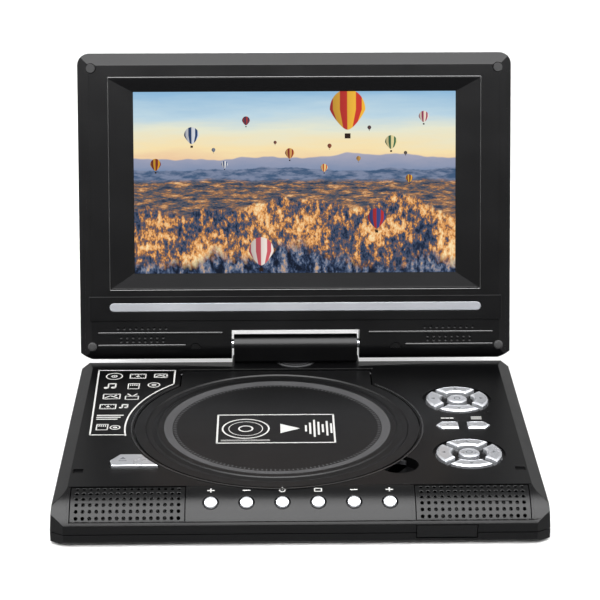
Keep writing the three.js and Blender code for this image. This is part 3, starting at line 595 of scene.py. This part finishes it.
for pad_name in ("lower_pad", "upper_pad"):
    for direction in ("up", "left", "down", "right"):
        key_cap(f"{pad_name}_{direction}_key", 1.0, 0.6)
    key_cap(f"{pad_name}_centre_key", 1.1, 0.5)
for bar_name in ("setup_key", "menu_key"):
    key_cap(bar_name, 1.0, 0.6)
release = copy_node("lid_release_key", "lid_release_key_cap")
soften(release, 0.5, 4, clamp=True)
fit(release, key_silver, "lid_release_key", "silver_plastic", "lid_release_key")

nose_radius = 22.4
nose_y = nose_radius * math.sin(math.radians(60))
nose_z = top - nose_radius
front_key_angle = 31
front_keys = 6
front_key_gap = 16.6


def on_nose(angle, x=0):
    """Stands a thing on the front edge's curve, this many degrees forward of upright."""
    centre = Matrix.Translation(place(x, nose_y, nose_z))
    return centre @ Matrix.Rotation(math.radians(angle), 4, "X") @ Matrix.Translation(-place(0, 0, 0))


def front_key_x(index):
    """How far a front key stands from the case's middle."""
    return (index - (front_keys - 1) / 2) * front_key_gap


key_top = nose_radius + 0.9
rim = [(3.65, key_top - 4.4), (3.65, key_top - 3.9), (3.05, key_top - 3.9)]
dome = [
    (3.05, key_top - 0.9),
    (2.9, key_top - 0.5),
    (2.5, key_top - 0.2),
    (1.8, key_top - 0.05),
    (0.9, key_top),
]
for index in range(front_keys):
    node = f"front_key_{index + 1}"
    stands_at = on_nose(front_key_angle, front_key_x(index))
    cap = turned(rim + dome, 0, 0, 48, stands_at)
    cap.name = node + "_cap"
    only(cap)
    bpy.ops.object.shade_smooth_by_angle(angle=math.radians(35))
    fit(cap, key_silver, node, "silver_plastic", node)
    # The rim under the case wall takes the case's black: painted shade in the narrow gap round each cap.
    cap.data.materials.append(abs_black)
    out_of_nose = stands_at.inverted()
    for face in cap.data.polygons:
        height = (out_of_nose @ face.center - place(0, 0, 0)).z / mm
        if height < key_top - 3:
            face.material_index = 1

# Signs on the silver keys are pad-printed in dark grey ink.
dark_ink, dark_tree, dark_shader = new_material("grey_pad_print_ink", "#4a4d52", 0.5)
add_grain(dark_tree, dark_shader, 0.4, 0.003, (0.42, 0.58))
sign_turns = {"up": 0, "left": 90, "down": 180, "right": 270}
sign_reach = 12.2
key_face = top + 0.75
for pad_name, pad_y in zip(("lower_pad", "upper_pad"), pad_ys):
    for direction, turn in sign_turns.items():
        away = Vector((-math.sin(math.radians(turn)), math.cos(math.radians(turn)))) * sign_reach
        arrow = spot(pad_x + away.x, pad_y + away.y, 1.3, 3, turn, key_face)
        arrow.name = f"{pad_name}_{direction}_sign"
        fit(arrow, dark_ink, f"{pad_name}_{direction}_key", "silver_plastic")
    ring = hoop(pad_x, pad_y, 1.5, 0.5, 28, key_face)
    ring.name = f"{pad_name}_centre_sign"
    fit(ring, dark_ink, f"{pad_name}_centre_key", "silver_plastic")
release_face = top + 0.88
eject_marks = [
    spot(-84.5, 47.6, 1.9, 3, 0, release_face),
    stroke(-86.2, 45, -82.8, 45, 0.8, release_face),
]
eject = joined(eject_marks, "lid_release_sign")
fit(eject, dark_ink, "lid_release_key", "silver_plastic")

sign_height = nose_radius
sign_angle = 12
signs = []
for index, kind in enumerate(("plus", "minus", "power", "mode", "minus", "plus")):
    made = []
    if kind in ("plus", "minus"):
        made.append(stroke(-1.6, 0, 1.6, 0, 0.6, sign_height))
    if kind == "plus":
        made.append(stroke(0, -1.3, 0, 1.3, 0.6, sign_height))
    if kind == "power":
        made += [hoop(0, 0, 1.3, 0.5, 24, sign_height), stroke(0, 0.4, 0, 1.9, 0.5, sign_height)]
    if kind == "mode":
        made += outline(0, 0, 3.2, 2.2, 0.5, sign_height)
    signs += [settle(mark, matrix=on_nose(sign_angle, front_key_x(index))) for mark in made]
fit(joined(signs, "front_key_signs"), ink, "base", "case_plastic")

# ---------------------------------------------------------------- speaker grilles
# Each grille is a thin curved plate of black ABS, pressed into the case's rounded front edge.
# It is pierced with six rows of sixteen small holes, and a low lip runs round it.
hole_pitch = 3.15
hole_radius = 0.82
hole_rows = 6
hole_columns = 16
grille_half = 53 / 2
grille_inset = 8.6
drill_profile = [(hole_radius, nose_radius - 3), (hole_radius, nose_radius + 2)]
row_angles = [3 + 52 * (i + 0.5) / hole_rows for i in range(hole_rows)]
for side, word in ((-1, "left"), (1, "right")):
    grille = copy_node(f"speaker_grille_{word}", f"grille_{word}")
    middle = side * (case_half - grille_inset - grille_half)
    for angle in row_angles:
        start = middle - (hole_columns - 1) / 2 * hole_pitch
        drill = turned(drill_profile, 0, 0, 12, on_nose(angle, start))
        step = (hole_pitch * mm, 0, 0)
        array = {"count": hole_columns, "use_relative_offset": False, "use_constant_offset": True}
        apply_modifier(drill, "ARRAY", constant_offset_displace=step, **array)
        cut(grille, drill)
    soften(grille, 0.15, 1)
    fit(grille, abs_black, "base", "case_plastic", f"speaker_grille_{word}")

# Each lip is built of short straight bars, laid edge to edge round the curve.
lip_angles = [1.4 + 55.8 * i / 14 for i in range(15)]
lip_gap = 1.7
lip_half_width = 0.25
lip_step_half = 0.85
lip_heights = (nose_radius - 0.5, nose_radius + 0.14)
for side, word in ((-1, "left"), (1, "right")):
    outer_x = side * (case_half - grille_inset + lip_gap)
    inner_x = side * (case_half - grille_inset - 2 * grille_half - lip_gap)
    left, right = sorted((outer_x, inner_x))
    lips = []
    for angle in (lip_angles[0], lip_angles[-1]):
        lips.append(block((left, right), (-lip_half_width, lip_half_width), lip_heights, on_nose(angle)))
    for x in (left, right):
        span = (x - lip_half_width, x + lip_half_width)
        for angle in lip_angles[1:-1]:
            lips.append(block(span, (-lip_step_half, lip_step_half), lip_heights, on_nose(angle)))
    lip = joined(lips, f"grille_lip_{word}")
    fit(lip, abs_black, "base", "case_plastic")

# ---------------------------------------------------------------- remaining pieces of the case
# Rubber feet, the receiver window, the drive under the lid, the boards, the battery, the sockets
# and the hinge. Each is a piece of its own, screwed, pressed or stuck in place, with its edges eased.

# Smoked polycarbonate, moulded against a polished face: black and glossy.
gloss, gloss_tree, gloss_shader = new_material("gloss_black_window", "#060607", 0.08)
add_grain(gloss_tree, gloss_shader, 2.0, 0.001, (0.05, 0.12))
gloss_shader.inputs["Specular IOR Level"].default_value = 0.1
# Moulded rubber: dead matt.
rubber, rubber_tree, rubber_shader = new_material("moulded_rubber", "#101011", 0.8)
rubber_shader.inputs["Specular IOR Level"].default_value = 0.2
add_grain(rubber_tree, rubber_shader, 0.3, 0.01, (0.7, 0.9))
# Blackened steel: dark, with a dull metal shine.
black_oxide, oxide_tree, oxide_shader = new_material("black_oxide_steel", "#1a1a1c", 0.4, 0.6)
add_grain(oxide_tree, oxide_shader, 0.2, 0.003, (0.32, 0.48))
# Ground steel: bright, with fine uneven gloss.
steel, steel_tree, steel_shader = new_material("ground_steel", "#a9acb0", 0.28, 1.0)
add_grain(steel_tree, steel_shader, 0.15, 0.002, (0.2, 0.36))
# The drive's dark grey ABS: satin, from a lightly etched mould.
drive, drive_tree, drive_shader = new_material("drive_abs_grey", "#1c1d20", 0.5)
add_grain(drive_tree, drive_shader, 0.3, 0.008, (0.42, 0.56))
# Natural nylon: off-white and waxy.
nylon, nylon_tree, nylon_shader = new_material("natural_nylon", "#d9d6cb", 0.45)
add_grain(nylon_tree, nylon_shader, 0.5, 0.004, (0.38, 0.52))
# Solder mask on a glass-fibre board: green, with a soft unevenness from the weave.
solder_mask, mask_tree, mask_shader = new_material("green_solder_mask", "#123f25", 0.4)
add_grain(mask_tree, mask_shader, 1.2, 0.01, (0.3, 0.5))
# Shrink wrap over the cells: smooth and slightly rippled.
cell_wrap, wrap_tree, wrap_shader = new_material("battery_shrink_wrap", "#24344e", 0.35)
add_grain(wrap_tree, wrap_shader, 3.0, 0.02, (0.28, 0.42))
# Pressed paper: black and fibrous.
cone, cone_tree, cone_shader = new_material("speaker_cone_paper", "#050505", 0.9)
add_grain(cone_tree, cone_shader, 0.5, 0.02, (0.8, 0.95))
small_pieces = {
    "foot_front_left": (rubber, "base", "rubber", 0.4),
    "foot_front_right": (rubber, "base", "rubber", 0.4),
    "foot_rear_left": (rubber, "base", "rubber", 0.4),
    "foot_rear_right": (rubber, "base", "rubber", 0.4),
    "disc_well": (drive, "base", "drive_plastic", 0.2),
    "guide_rod_left": (steel, "base", "steel", 0.15),
    "guide_rod_right": (steel, "base", "steel", 0.15),
    "spindle_motor": (steel, "base", "steel", 0.3),
    "turntable": (drive, "turntable", "drive_plastic", 0.15),
    "laser_pickup": (drive, "laser_pickup", "drive_plastic", 0.2),
    "sled_gear": (nylon, "sled_gear", "nylon", 0.08),
    "sled_motor": (steel, "base", "steel", 0.2),
    "lid_hinge_pin": (black_oxide, "base", "steel", 0.1),
    "key_board": (solder_mask, "base", "board", 0.1),
    "speaker_left": (cone, "base", "steel", 0.2),
    "speaker_right": (cone, "base", "steel", 0.2),
    "ir_window": (gloss, "base", "gloss_black", 0.25),
    "main_board": (solder_mask, "base", "board", 0.1),
    "battery_pack": (cell_wrap, "base", "battery", 0.6),
    "dc_jack": (gloss, "base", "gloss_black", 0.2),
    "headphone_jack": (steel, "base", "steel", 0.15),
    "usb_socket": (steel, "base", "steel", 0.1),
    "swivel_bush": (drive, "base", "nylon", 0.2),
    "swivel_shaft": (black_oxide, "swivel", "steel", 0.2),
    "swivel_block": (abs_black, "swivel", "case_plastic", 0.3),
    "swivel_block_cover": (abs_black, "swivel", "case_plastic", 0.2),
    "tilt_pin_left": (steel, "swivel", "steel", 0.2),
    "tilt_pin_right": (steel, "swivel", "steel", 0.2),
    "tilt_bracket_left": (steel, "screen", "steel", 0.2),
    "tilt_bracket_right": (steel, "screen", "steel", 0.2),
    "screen_bumper_left": (rubber, "screen", "rubber", 0.3),
    "screen_bumper_right": (rubber, "screen", "rubber", 0.3),
}
for node, (finish, body, slot_name, edge) in small_pieces.items():
    piece = copy_node(node, node + "_part")
    soften(piece, edge)
    fit(piece, finish, body, slot_name, node)

# ---------------------------------------------------------------- screen shells
# The screen's front and back are ABS mouldings in the case's grain: a sloping border round the picture,
# a raised band with a silver strip, and long thin ribs below it.
lean = math.radians(15.6)
tilt_axis = Matrix.Translation(place(0, 174.5, 31.3))
in_panel = tilt_axis @ Matrix.Rotation(-lean, 4, "X") @ Matrix.Translation(-place(0, 0, 0))
face_y = -8


def from_bottom(height):
    """A height above the panel's lower edge, measured in the panel's own frame."""
    return height - 8


def stood_in_panel(x, depth, height, turn):
    """Stands a turned tool or piece in the panel, tipped over by this many degrees."""
    spot_in_panel = in_panel @ Matrix.Translation(Vector((x, depth, from_bottom(height))) * mm)
    origin = place(0, 0, 0)
    tipped = Matrix.Rotation(math.radians(turn), 4, "X")
    return spot_in_panel @ Matrix.Translation(origin) @ tipped @ Matrix.Translation(-origin)


def into_face(x, height):
    """Stands a turned tool or piece on the panel's face, its axis pointing out of the face."""
    return stood_in_panel(x, 0, height, 90)


bezel = copy_node("screen_bezel", "screen_bezel_moulding")
dot_pitch = 3.2
dot_rows = [(17.2, 9, 69), (12.4, 8, 70.6), (10.3, 8, 70.6)]
dot_depth = 0.5
dimple_profile = [(0.55, -face_y - dot_depth), (0.75, -face_y + 1)]
plug_ring = [(2.6, -face_y - 0.25), (2.6, -face_y + 1)]
for side in (-1, 1):
    for height, count, first_x in dot_rows:
        dimple = turned(dimple_profile, 0, 0, 12, into_face(side * first_x, height))
        step = (side * dot_pitch * mm, 0, 0)
        array = {"count": count, "use_relative_offset": False, "use_constant_offset": True}
        apply_modifier(dimple, "ARRAY", constant_offset_displace=step, **array)
        cut(bezel, dimple)
    cut(bezel, turned(plug_ring, 0, 0, 40, into_face(side * 53.4, 6.5)))
soften(bezel, 0.22, 3, sharper_than=12, smooth_below=26)
fit(bezel, abs_black, "screen", "case_plastic", "screen_bezel")

# The sloping border is moulded matt, so that it doesn't mirror the picture.
lip_half = 98.6
lip_low, lip_high = 37.6, 150.3
matt, matt_tree, matt_shader = new_material("matt_sloping_border", "#050506", 0.6)
matt_shader.inputs["Specular IOR Level"].default_value = 0.03
add_grain(matt_tree, matt_shader, 0.35, 0.01, (0.55, 0.65))
bezel.data.materials.append(matt)
out_of_panel = in_panel.inverted()
for face in bezel.data.polygons:
    spot_at = (out_of_panel @ face.center - place(0, 0, 0)) / mm
    facing = (out_of_panel.to_3x3() @ face.normal).y
    within = abs(spot_at.x) < lip_half and from_bottom(lip_low) < spot_at.z < from_bottom(lip_high)
    if within and -0.97 < facing < -0.1:
        face.material_index = 1

# Raised ribs: two long ones each side under the band, and a thin lip round the sloping border.
rib_depth = (face_y - 0.6, face_y + 0.5)
rib_half = 0.5
ribs = []
for side in (-1, 1):
    for height, rib_near, rib_far in ((14.7, 39, 105.3), (8.1, 58.7, 105.3)):
        span = sorted((side * rib_near, side * rib_far))
        rise = (from_bottom(height - rib_half), from_bottom(height + rib_half))
        ribs.append(block(span, rib_depth, rise, in_panel))
lip_depth = (face_y - 0.35, face_y + 0.5)
lip_edge_half = 0.3
for height in (lip_low, lip_high):
    rise = (from_bottom(height - lip_edge_half), from_bottom(height + lip_edge_half))
    ribs.append(block((-lip_half, lip_half), lip_depth, rise, in_panel))
rise = (from_bottom(lip_low), from_bottom(lip_high))
for x in (-lip_half, lip_half):
    ribs.append(block((x - lip_edge_half, x + lip_edge_half), lip_depth, rise, in_panel))
rib_piece = joined(ribs, "screen_ribs")
soften(rib_piece, 0.22, 3)
fit(rib_piece, polished, "screen", "case_plastic")

# Two more rubber bumpers near the lower corners keep the closed panel off the case.
button = [(2.4, -face_y - 0.5), (2.4, -face_y + 0.5), (2.1, -face_y + 0.85), (1.4, -face_y + 1)]
for side, word in ((-1, "left"), (1, "right")):
    stud = turned(button, 0, 0, 40, into_face(side * 108.4, 7.5))
    stud.name = f"lower_bumper_{word}"
    only(stud)
    bpy.ops.object.shade_smooth_by_angle(angle=math.radians(40))
    fit(stud, rubber, "screen", "rubber")

# The back has a wide shallow field, two blocks of six cooling slots and four screws in wells.
back = copy_node("screen_back_cover", "screen_back_moulding")
field = block((-88, 88), (7.6, 12), (from_bottom(42), from_bottom(138)), in_panel)
apply_modifier(field, "BEVEL", width=5 * mm, segments=5, affect="EDGES", limit_method="ANGLE")
cut(back, field)
slot_half = 24 / 2
slot_tall = 1.8
slot_pitch = 4.4
for x in (-62, 62):
    for row in range(6):
        height = 60 + row * slot_pitch
        rise = (from_bottom(height), from_bottom(height + slot_tall))
        cut(back, block((x - slot_half, x + slot_half), (6.6, 12), rise, in_panel))
screw_head = [(2.4, 0), (2.4, 0.9), (2.0, 1.3), (1.2, 1.5)]


def screw(matrix, name, body):
    """A black cross-head screw: a turned head with two crossed slots."""
    head = turned(screw_head, 0, 0, 32)
    for across_slot, along_slot in ((1.5, 0.28), (0.28, 1.5)):
        cut(head, block((-across_slot, across_slot), (-along_slot, along_slot), (0.7, 2)))
    settle(head, name, matrix)
    soften(head, 0.06)
    return fit(head, black_oxide, body, "steel")


def out_of_back(x, height, depth):
    """Stands a turned tool or piece on the panel's back, its axis pointing out of the back."""
    return stood_in_panel(x, depth, height, -90)


back_screws = [(-104, 24), (104, 24), (-104, 146), (104, 146)]
back_well = [(screw_well_radius, -2.0), (screw_well_radius, 3)]
for x, height in back_screws:
    cut(back, turned(back_well, 0, 0, 32, out_of_back(x, height, 8)))
soften(back, 0.22)
fit(back, abs_black, "screen", "case_plastic", "screen_back_cover")
for index, (x, height) in enumerate(back_screws):
    screw(out_of_back(x, height, 6), f"back_screw_{index + 1}", "screen")
upside_down = Matrix.Rotation(math.pi, 4, "X")
for index, (x, y) in enumerate(screw_places):
    head_place = Matrix.Translation(place(x, y, 2.65))
    flip = head_place @ upside_down @ Matrix.Translation(-place(0, 0, 0))
    screw(flip, f"base_screw_{index + 1}", "base")

# The strip is ABS painted silver over a fine texture, stuck in the raised band.
trim = copy_node("screen_trim_strip", "silver_trim_strip")
soften(trim, 0.2)
strip_silver, strip_tree, strip_shader = new_material("fine_textured_silver_strip", "#74767a", 0.4, 0.5)
add_grain(strip_tree, strip_shader, 0.5, 0.03, (0.34, 0.42))
fit(trim, strip_silver, "screen", "silver_plastic", "screen_trim_strip")

# ---------------------------------------------------------------- picture
# The display is a flat glass panel, lit from behind and held between the screen's two mouldings.
# It shows a made-up morning over a rocky valley with balloons, drawn from noise and simple outlines.
lcd = copy_node("lcd_panel", "lcd_glass")
soften(lcd, 0.15, 1)
picture_size = (171, 96.3)
picture_low = from_bottom(46.4)
# The glass is black and smooth, and its light comes from the picture alone.
picture, tree, shader = new_material("lit_picture_behind_glass", "#020203", 0.12)
placed = {
    "Vector": add_node(tree, "ShaderNodeTexCoord").outputs["Object"],
    "Location": in_panel @ place(-picture_size[0] / 2, face_y, picture_low),
    "Rotation": (-lean, 0, 0),
    "Scale": (picture_size[1] * mm, 1, picture_size[1] * mm),
}
flat = add_node(tree, "ShaderNodeMapping", placed, vector_type="TEXTURE")
split = add_node(tree, "ShaderNodeSeparateXYZ", {"Vector": flat})
across, up = split.outputs["X"], split.outputs["Z"]


def work_out(*sums, clamped=()):
    """Named sums in the picture: each has an operation, and two numbers, outputs or earlier names."""
    found = {}
    for name, operation, left, right in sums:
        terms = {0: found.get(left, left), 1: found.get(right, right)}
        clamp = name in clamped
        found[name] = add_node(tree, "ShaderNodeMath", terms, operation=operation, use_clamp=clamp)
    return found


def uneven(scale, stretch=(1, 1, 1), detail=6.0, roughness=0.6):
    """An uneven pattern, finer with scale and squeezed sideways or upwards by stretch."""
    squeezed = add_node(tree, "ShaderNodeMapping", {"Vector": flat, "Scale": stretch})
    settings = {"Vector": squeezed, "Scale": scale, "Detail": detail, "Roughness": roughness}
    return add_node(tree, "ShaderNodeTexNoise", settings)


def below_line(height, wave, swing, soft=0.006):
    """1 under a wavy line across the picture, 0 over it."""
    sums = work_out(
        ("centred", "SUBTRACT", wave, 0.5),
        ("rise", "MULTIPLY", "centred", swing),
        ("line", "ADD", "rise", height),
        ("under", "SUBTRACT", "line", up),
        ("share", "DIVIDE", "under", soft),
        clamped=("share",),
    )
    return sums["share"]


def painted(picture_so_far, mask, value, *stops):
    """Paints over the picture so far where the mask is 1, in colours in order along a value."""
    colours = add_node(tree, "ShaderNodeValToRGB", {"Fac": value})
    elements = colours.color_ramp.elements
    while len(elements) < len(stops):
        elements.new(0.5)
    for element, (position, colour) in zip(elements, stops):
        element.position = position
        element.color = to_linear(colour)
    layer = {0: mask, 6: picture_so_far, 7: colours}
    return add_node(tree, "ShaderNodeMix", layer, data_type="RGBA").outputs[2]


# The sky, from its glow over the hills up to blue, with long thin clouds.
night = to_linear("#000000")
sky = work_out(
    ("centred", "SUBTRACT", uneven(2.2, (0.6, 1, 4.5), 5.0), 0.5),
    ("cloud", "MULTIPLY", "centred", 0.2),
    ("height", "ADD", up, "cloud"),
)
picture_now = painted(
    night,
    1.0,
    sky["height"],
    (0.58, "#e9bf9d"),
    (0.68, "#f6e0ae"),
    (0.78, "#e6e6cf"),
    (0.88, "#bcd5e2"),
    (1.0, "#8fb9d9"),
)

# Hazy hills far off, and a nearer blue slope in shade.
far_hills = below_line(0.64, uneven(1.2, (1, 1, 0), 4.0), 0.2)
haze = work_out(
    ("drift", "MULTIPLY", uneven(9.0, (0.6, 1, 2)), 0.08),
    ("height", "ADD", up, "drift"),
)
picture_now = painted(picture_now, far_hills, haze["height"], (0.58, "#6f86a8"), (0.7, "#a7a6b8"))
near_slope = below_line(0.575, uneven(2.0, (1, 1, 0), 6.0), 0.12)
slope_pattern = uneven(14.0, (0.7, 1, 2.5))
picture_now = painted(picture_now, near_slope, slope_pattern, (0.42, "#3f5878"), (0.58, "#7b86a0"))

# Low fields lit from the side.
fields = below_line(0.52, uneven(3.5, (1, 1, 0), 5.0), 0.06, 0.02)
picture_now = painted(
    picture_now,
    fields,
    uneven(12.0, (0.8, 1, 3.6), 10.0, 0.75),
    (0.4, "#24324a"),
    (0.47, "#4d5564"),
    (0.52, "#7d5f4c"),
    (0.57, "#b98255"),
    (0.64, "#efc38e"),
)

# Upright fins of stone in front, orange where the sun meets them and blue in shade.
stone = work_out(
    ("ridges", "MULTIPLY", uneven(3.0, (1.6, 1, 1.6), 6.0, 0.6), 0.42),
    ("fins", "MULTIPLY", uneven(19.0, (1.6, 1, 0.95), 12.0, 0.72), 0.58),
    ("shade", "ADD", "ridges", "fins"),
)
picture_now = painted(
    picture_now,
    below_line(0.36, uneven(2.2, (1, 1, 0.6), 8.0, 0.6), 0.5, 0.02),
    stone["shade"],
    (0.41, "#16233a"),
    (0.46, "#3d4f6c"),
    (0.495, "#7d5a44"),
    (0.525, "#e39a52"),
    (0.6, "#fbe2ae"),
)
picture_now = painted(
    picture_now,
    below_line(0.1, uneven(1.8, (1, 1, 0.5), 6.0), 0.6, 0.05),
    uneven(15.0, (1.5, 1, 0.9), 12.0, 0.72),
    (0.43, "#0e1728"),
    (0.5, "#2e3f5d"),
    (0.56, "#6d7b94"),
    (0.64, "#c9a27c"),
)


def balloon(picture_so_far, x_share, y_share, size, first, second):
    """Paints a balloon over the picture so far: gores in two colours, a shaded side and a basket."""
    found = work_out(
        ("from_left", "SUBTRACT", across, x_share),
        ("dx", "DIVIDE", "from_left", size),
        ("from_below", "SUBTRACT", up, y_share),
        ("dy", "DIVIDE", "from_below", size),
        # The envelope narrows towards its mouth.
        ("under", "MINIMUM", "dy", 0.0),
        ("narrowing", "MULTIPLY", "under", 0.42),
        ("taper", "ADD", 1.0, "narrowing"),
        ("wide", "DIVIDE", "dx", "taper"),
        ("wide_squared", "MULTIPLY", "wide", "wide"),
        ("dy_squared", "MULTIPLY", "dy", "dy"),
        ("tall", "MULTIPLY", "dy_squared", 0.78),
        ("reach", "ADD", "wide_squared", "tall"),
        ("inside", "SUBTRACT", 1.0, "reach"),
        ("envelope", "MULTIPLY", "inside", 14.0),
        # The gores crowd together towards the sides, as on a round thing.
        ("nearly_wide", "MULTIPLY", "wide", 0.98),
        ("round_turn", "ARCSINE", "nearly_wide", 0.0),
        ("gore_turn", "MULTIPLY", "round_turn", 7.0),
        ("gore", "SINE", "gore_turn", 0.0),
        ("raised_gore", "ADD", "gore", 0.3),
        ("gore_share", "MULTIPLY", "raised_gore", 3.0),
        ("towards_left", "SUBTRACT", 0.5, "wide"),
        ("shade_share", "MULTIPLY", "towards_left", 0.34),
        ("aside", "ABSOLUTE", "dx", 0.0),
        ("basket_x", "LESS_THAN", "aside", 0.16),
        ("lowered", "ADD", "dy", 1.45),
        ("off_basket", "ABSOLUTE", "lowered", 0.0),
        ("basket_y", "LESS_THAN", "off_basket", 0.14),
        ("basket", "MULTIPLY", "basket_x", "basket_y"),
        clamped=("envelope", "gore_share", "shade_share"),
    )
    gores = {0: found["gore_share"], 6: to_linear(first), 7: to_linear(second)}
    cloth = add_node(tree, "ShaderNodeMix", gores, data_type="RGBA").outputs[2]
    shaded = {0: found["shade_share"], 6: cloth, 7: to_linear("#1c1826")}
    lit = add_node(tree, "ShaderNodeMix", shaded, data_type="RGBA").outputs[2]
    aloft = {0: found["envelope"], 6: picture_so_far, 7: lit}
    with_cloth = add_node(tree, "ShaderNodeMix", aloft, data_type="RGBA").outputs[2]
    hung = {0: found["basket"], 6: with_cloth, 7: to_linear("#2a1d16")}
    return add_node(tree, "ShaderNodeMix", hung, data_type="RGBA").outputs[2]


# Balloons: how far across and up, size, and two colours for the gores.
balloons = [
    (1.18, 0.9, 0.1, "#c8372d", "#f0b63c"),
    (0.32, 0.76, 0.042, "#27406b", "#d8dbe2"),
    (0.86, 0.66, 0.026, "#8d2f2a", "#d8a25a"),
    (1.42, 0.72, 0.034, "#3f6b4a", "#e8d9a0"),
    (0.62, 0.84, 0.022, "#3a3a52", "#a23a3a"),
    (1.6, 0.86, 0.028, "#a23f5c", "#f1e2d0"),
    (0.12, 0.6, 0.03, "#d49b2c", "#7b2f22"),
    (0.5, 0.6, 0.018, "#2e4a7a", "#e6e6e6"),
    (1.05, 0.58, 0.02, "#c9562b", "#f0d28c"),
    (1.34, 0.3, 0.05, "#b5302f", "#3c4a86"),
    (0.7, 0.12, 0.07, "#c95a62", "#efe3da"),
    (1.52, 0.52, 0.02, "#e2b23f", "#8a3b2a"),
    (1.3, 0.8, 0.011, "#3b3f52", "#6a4a3a"),
    (1.08, 0.7, 0.012, "#4a3a3a", "#a8572f"),
    (1.5, 0.66, 0.01, "#30384e", "#7a6a50"),
    (0.78, 0.72, 0.009, "#3a3040", "#8a4a30"),
    (0.44, 0.68, 0.011, "#2a3a5a", "#9aa0aa"),
    (1.24, 0.63, 0.013, "#7c2f28", "#d9b25c"),
]
for balloon_row in balloons:
    picture_now = balloon(picture_now, *balloon_row)

tree.links.new(picture_now, shader.inputs["Emission Color"])
shader.inputs["Emission Strength"].default_value = 1.0
shader.inputs["Specular IOR Level"].default_value = 0.12
fit(lcd, picture, "screen", "screen", "lcd_panel")
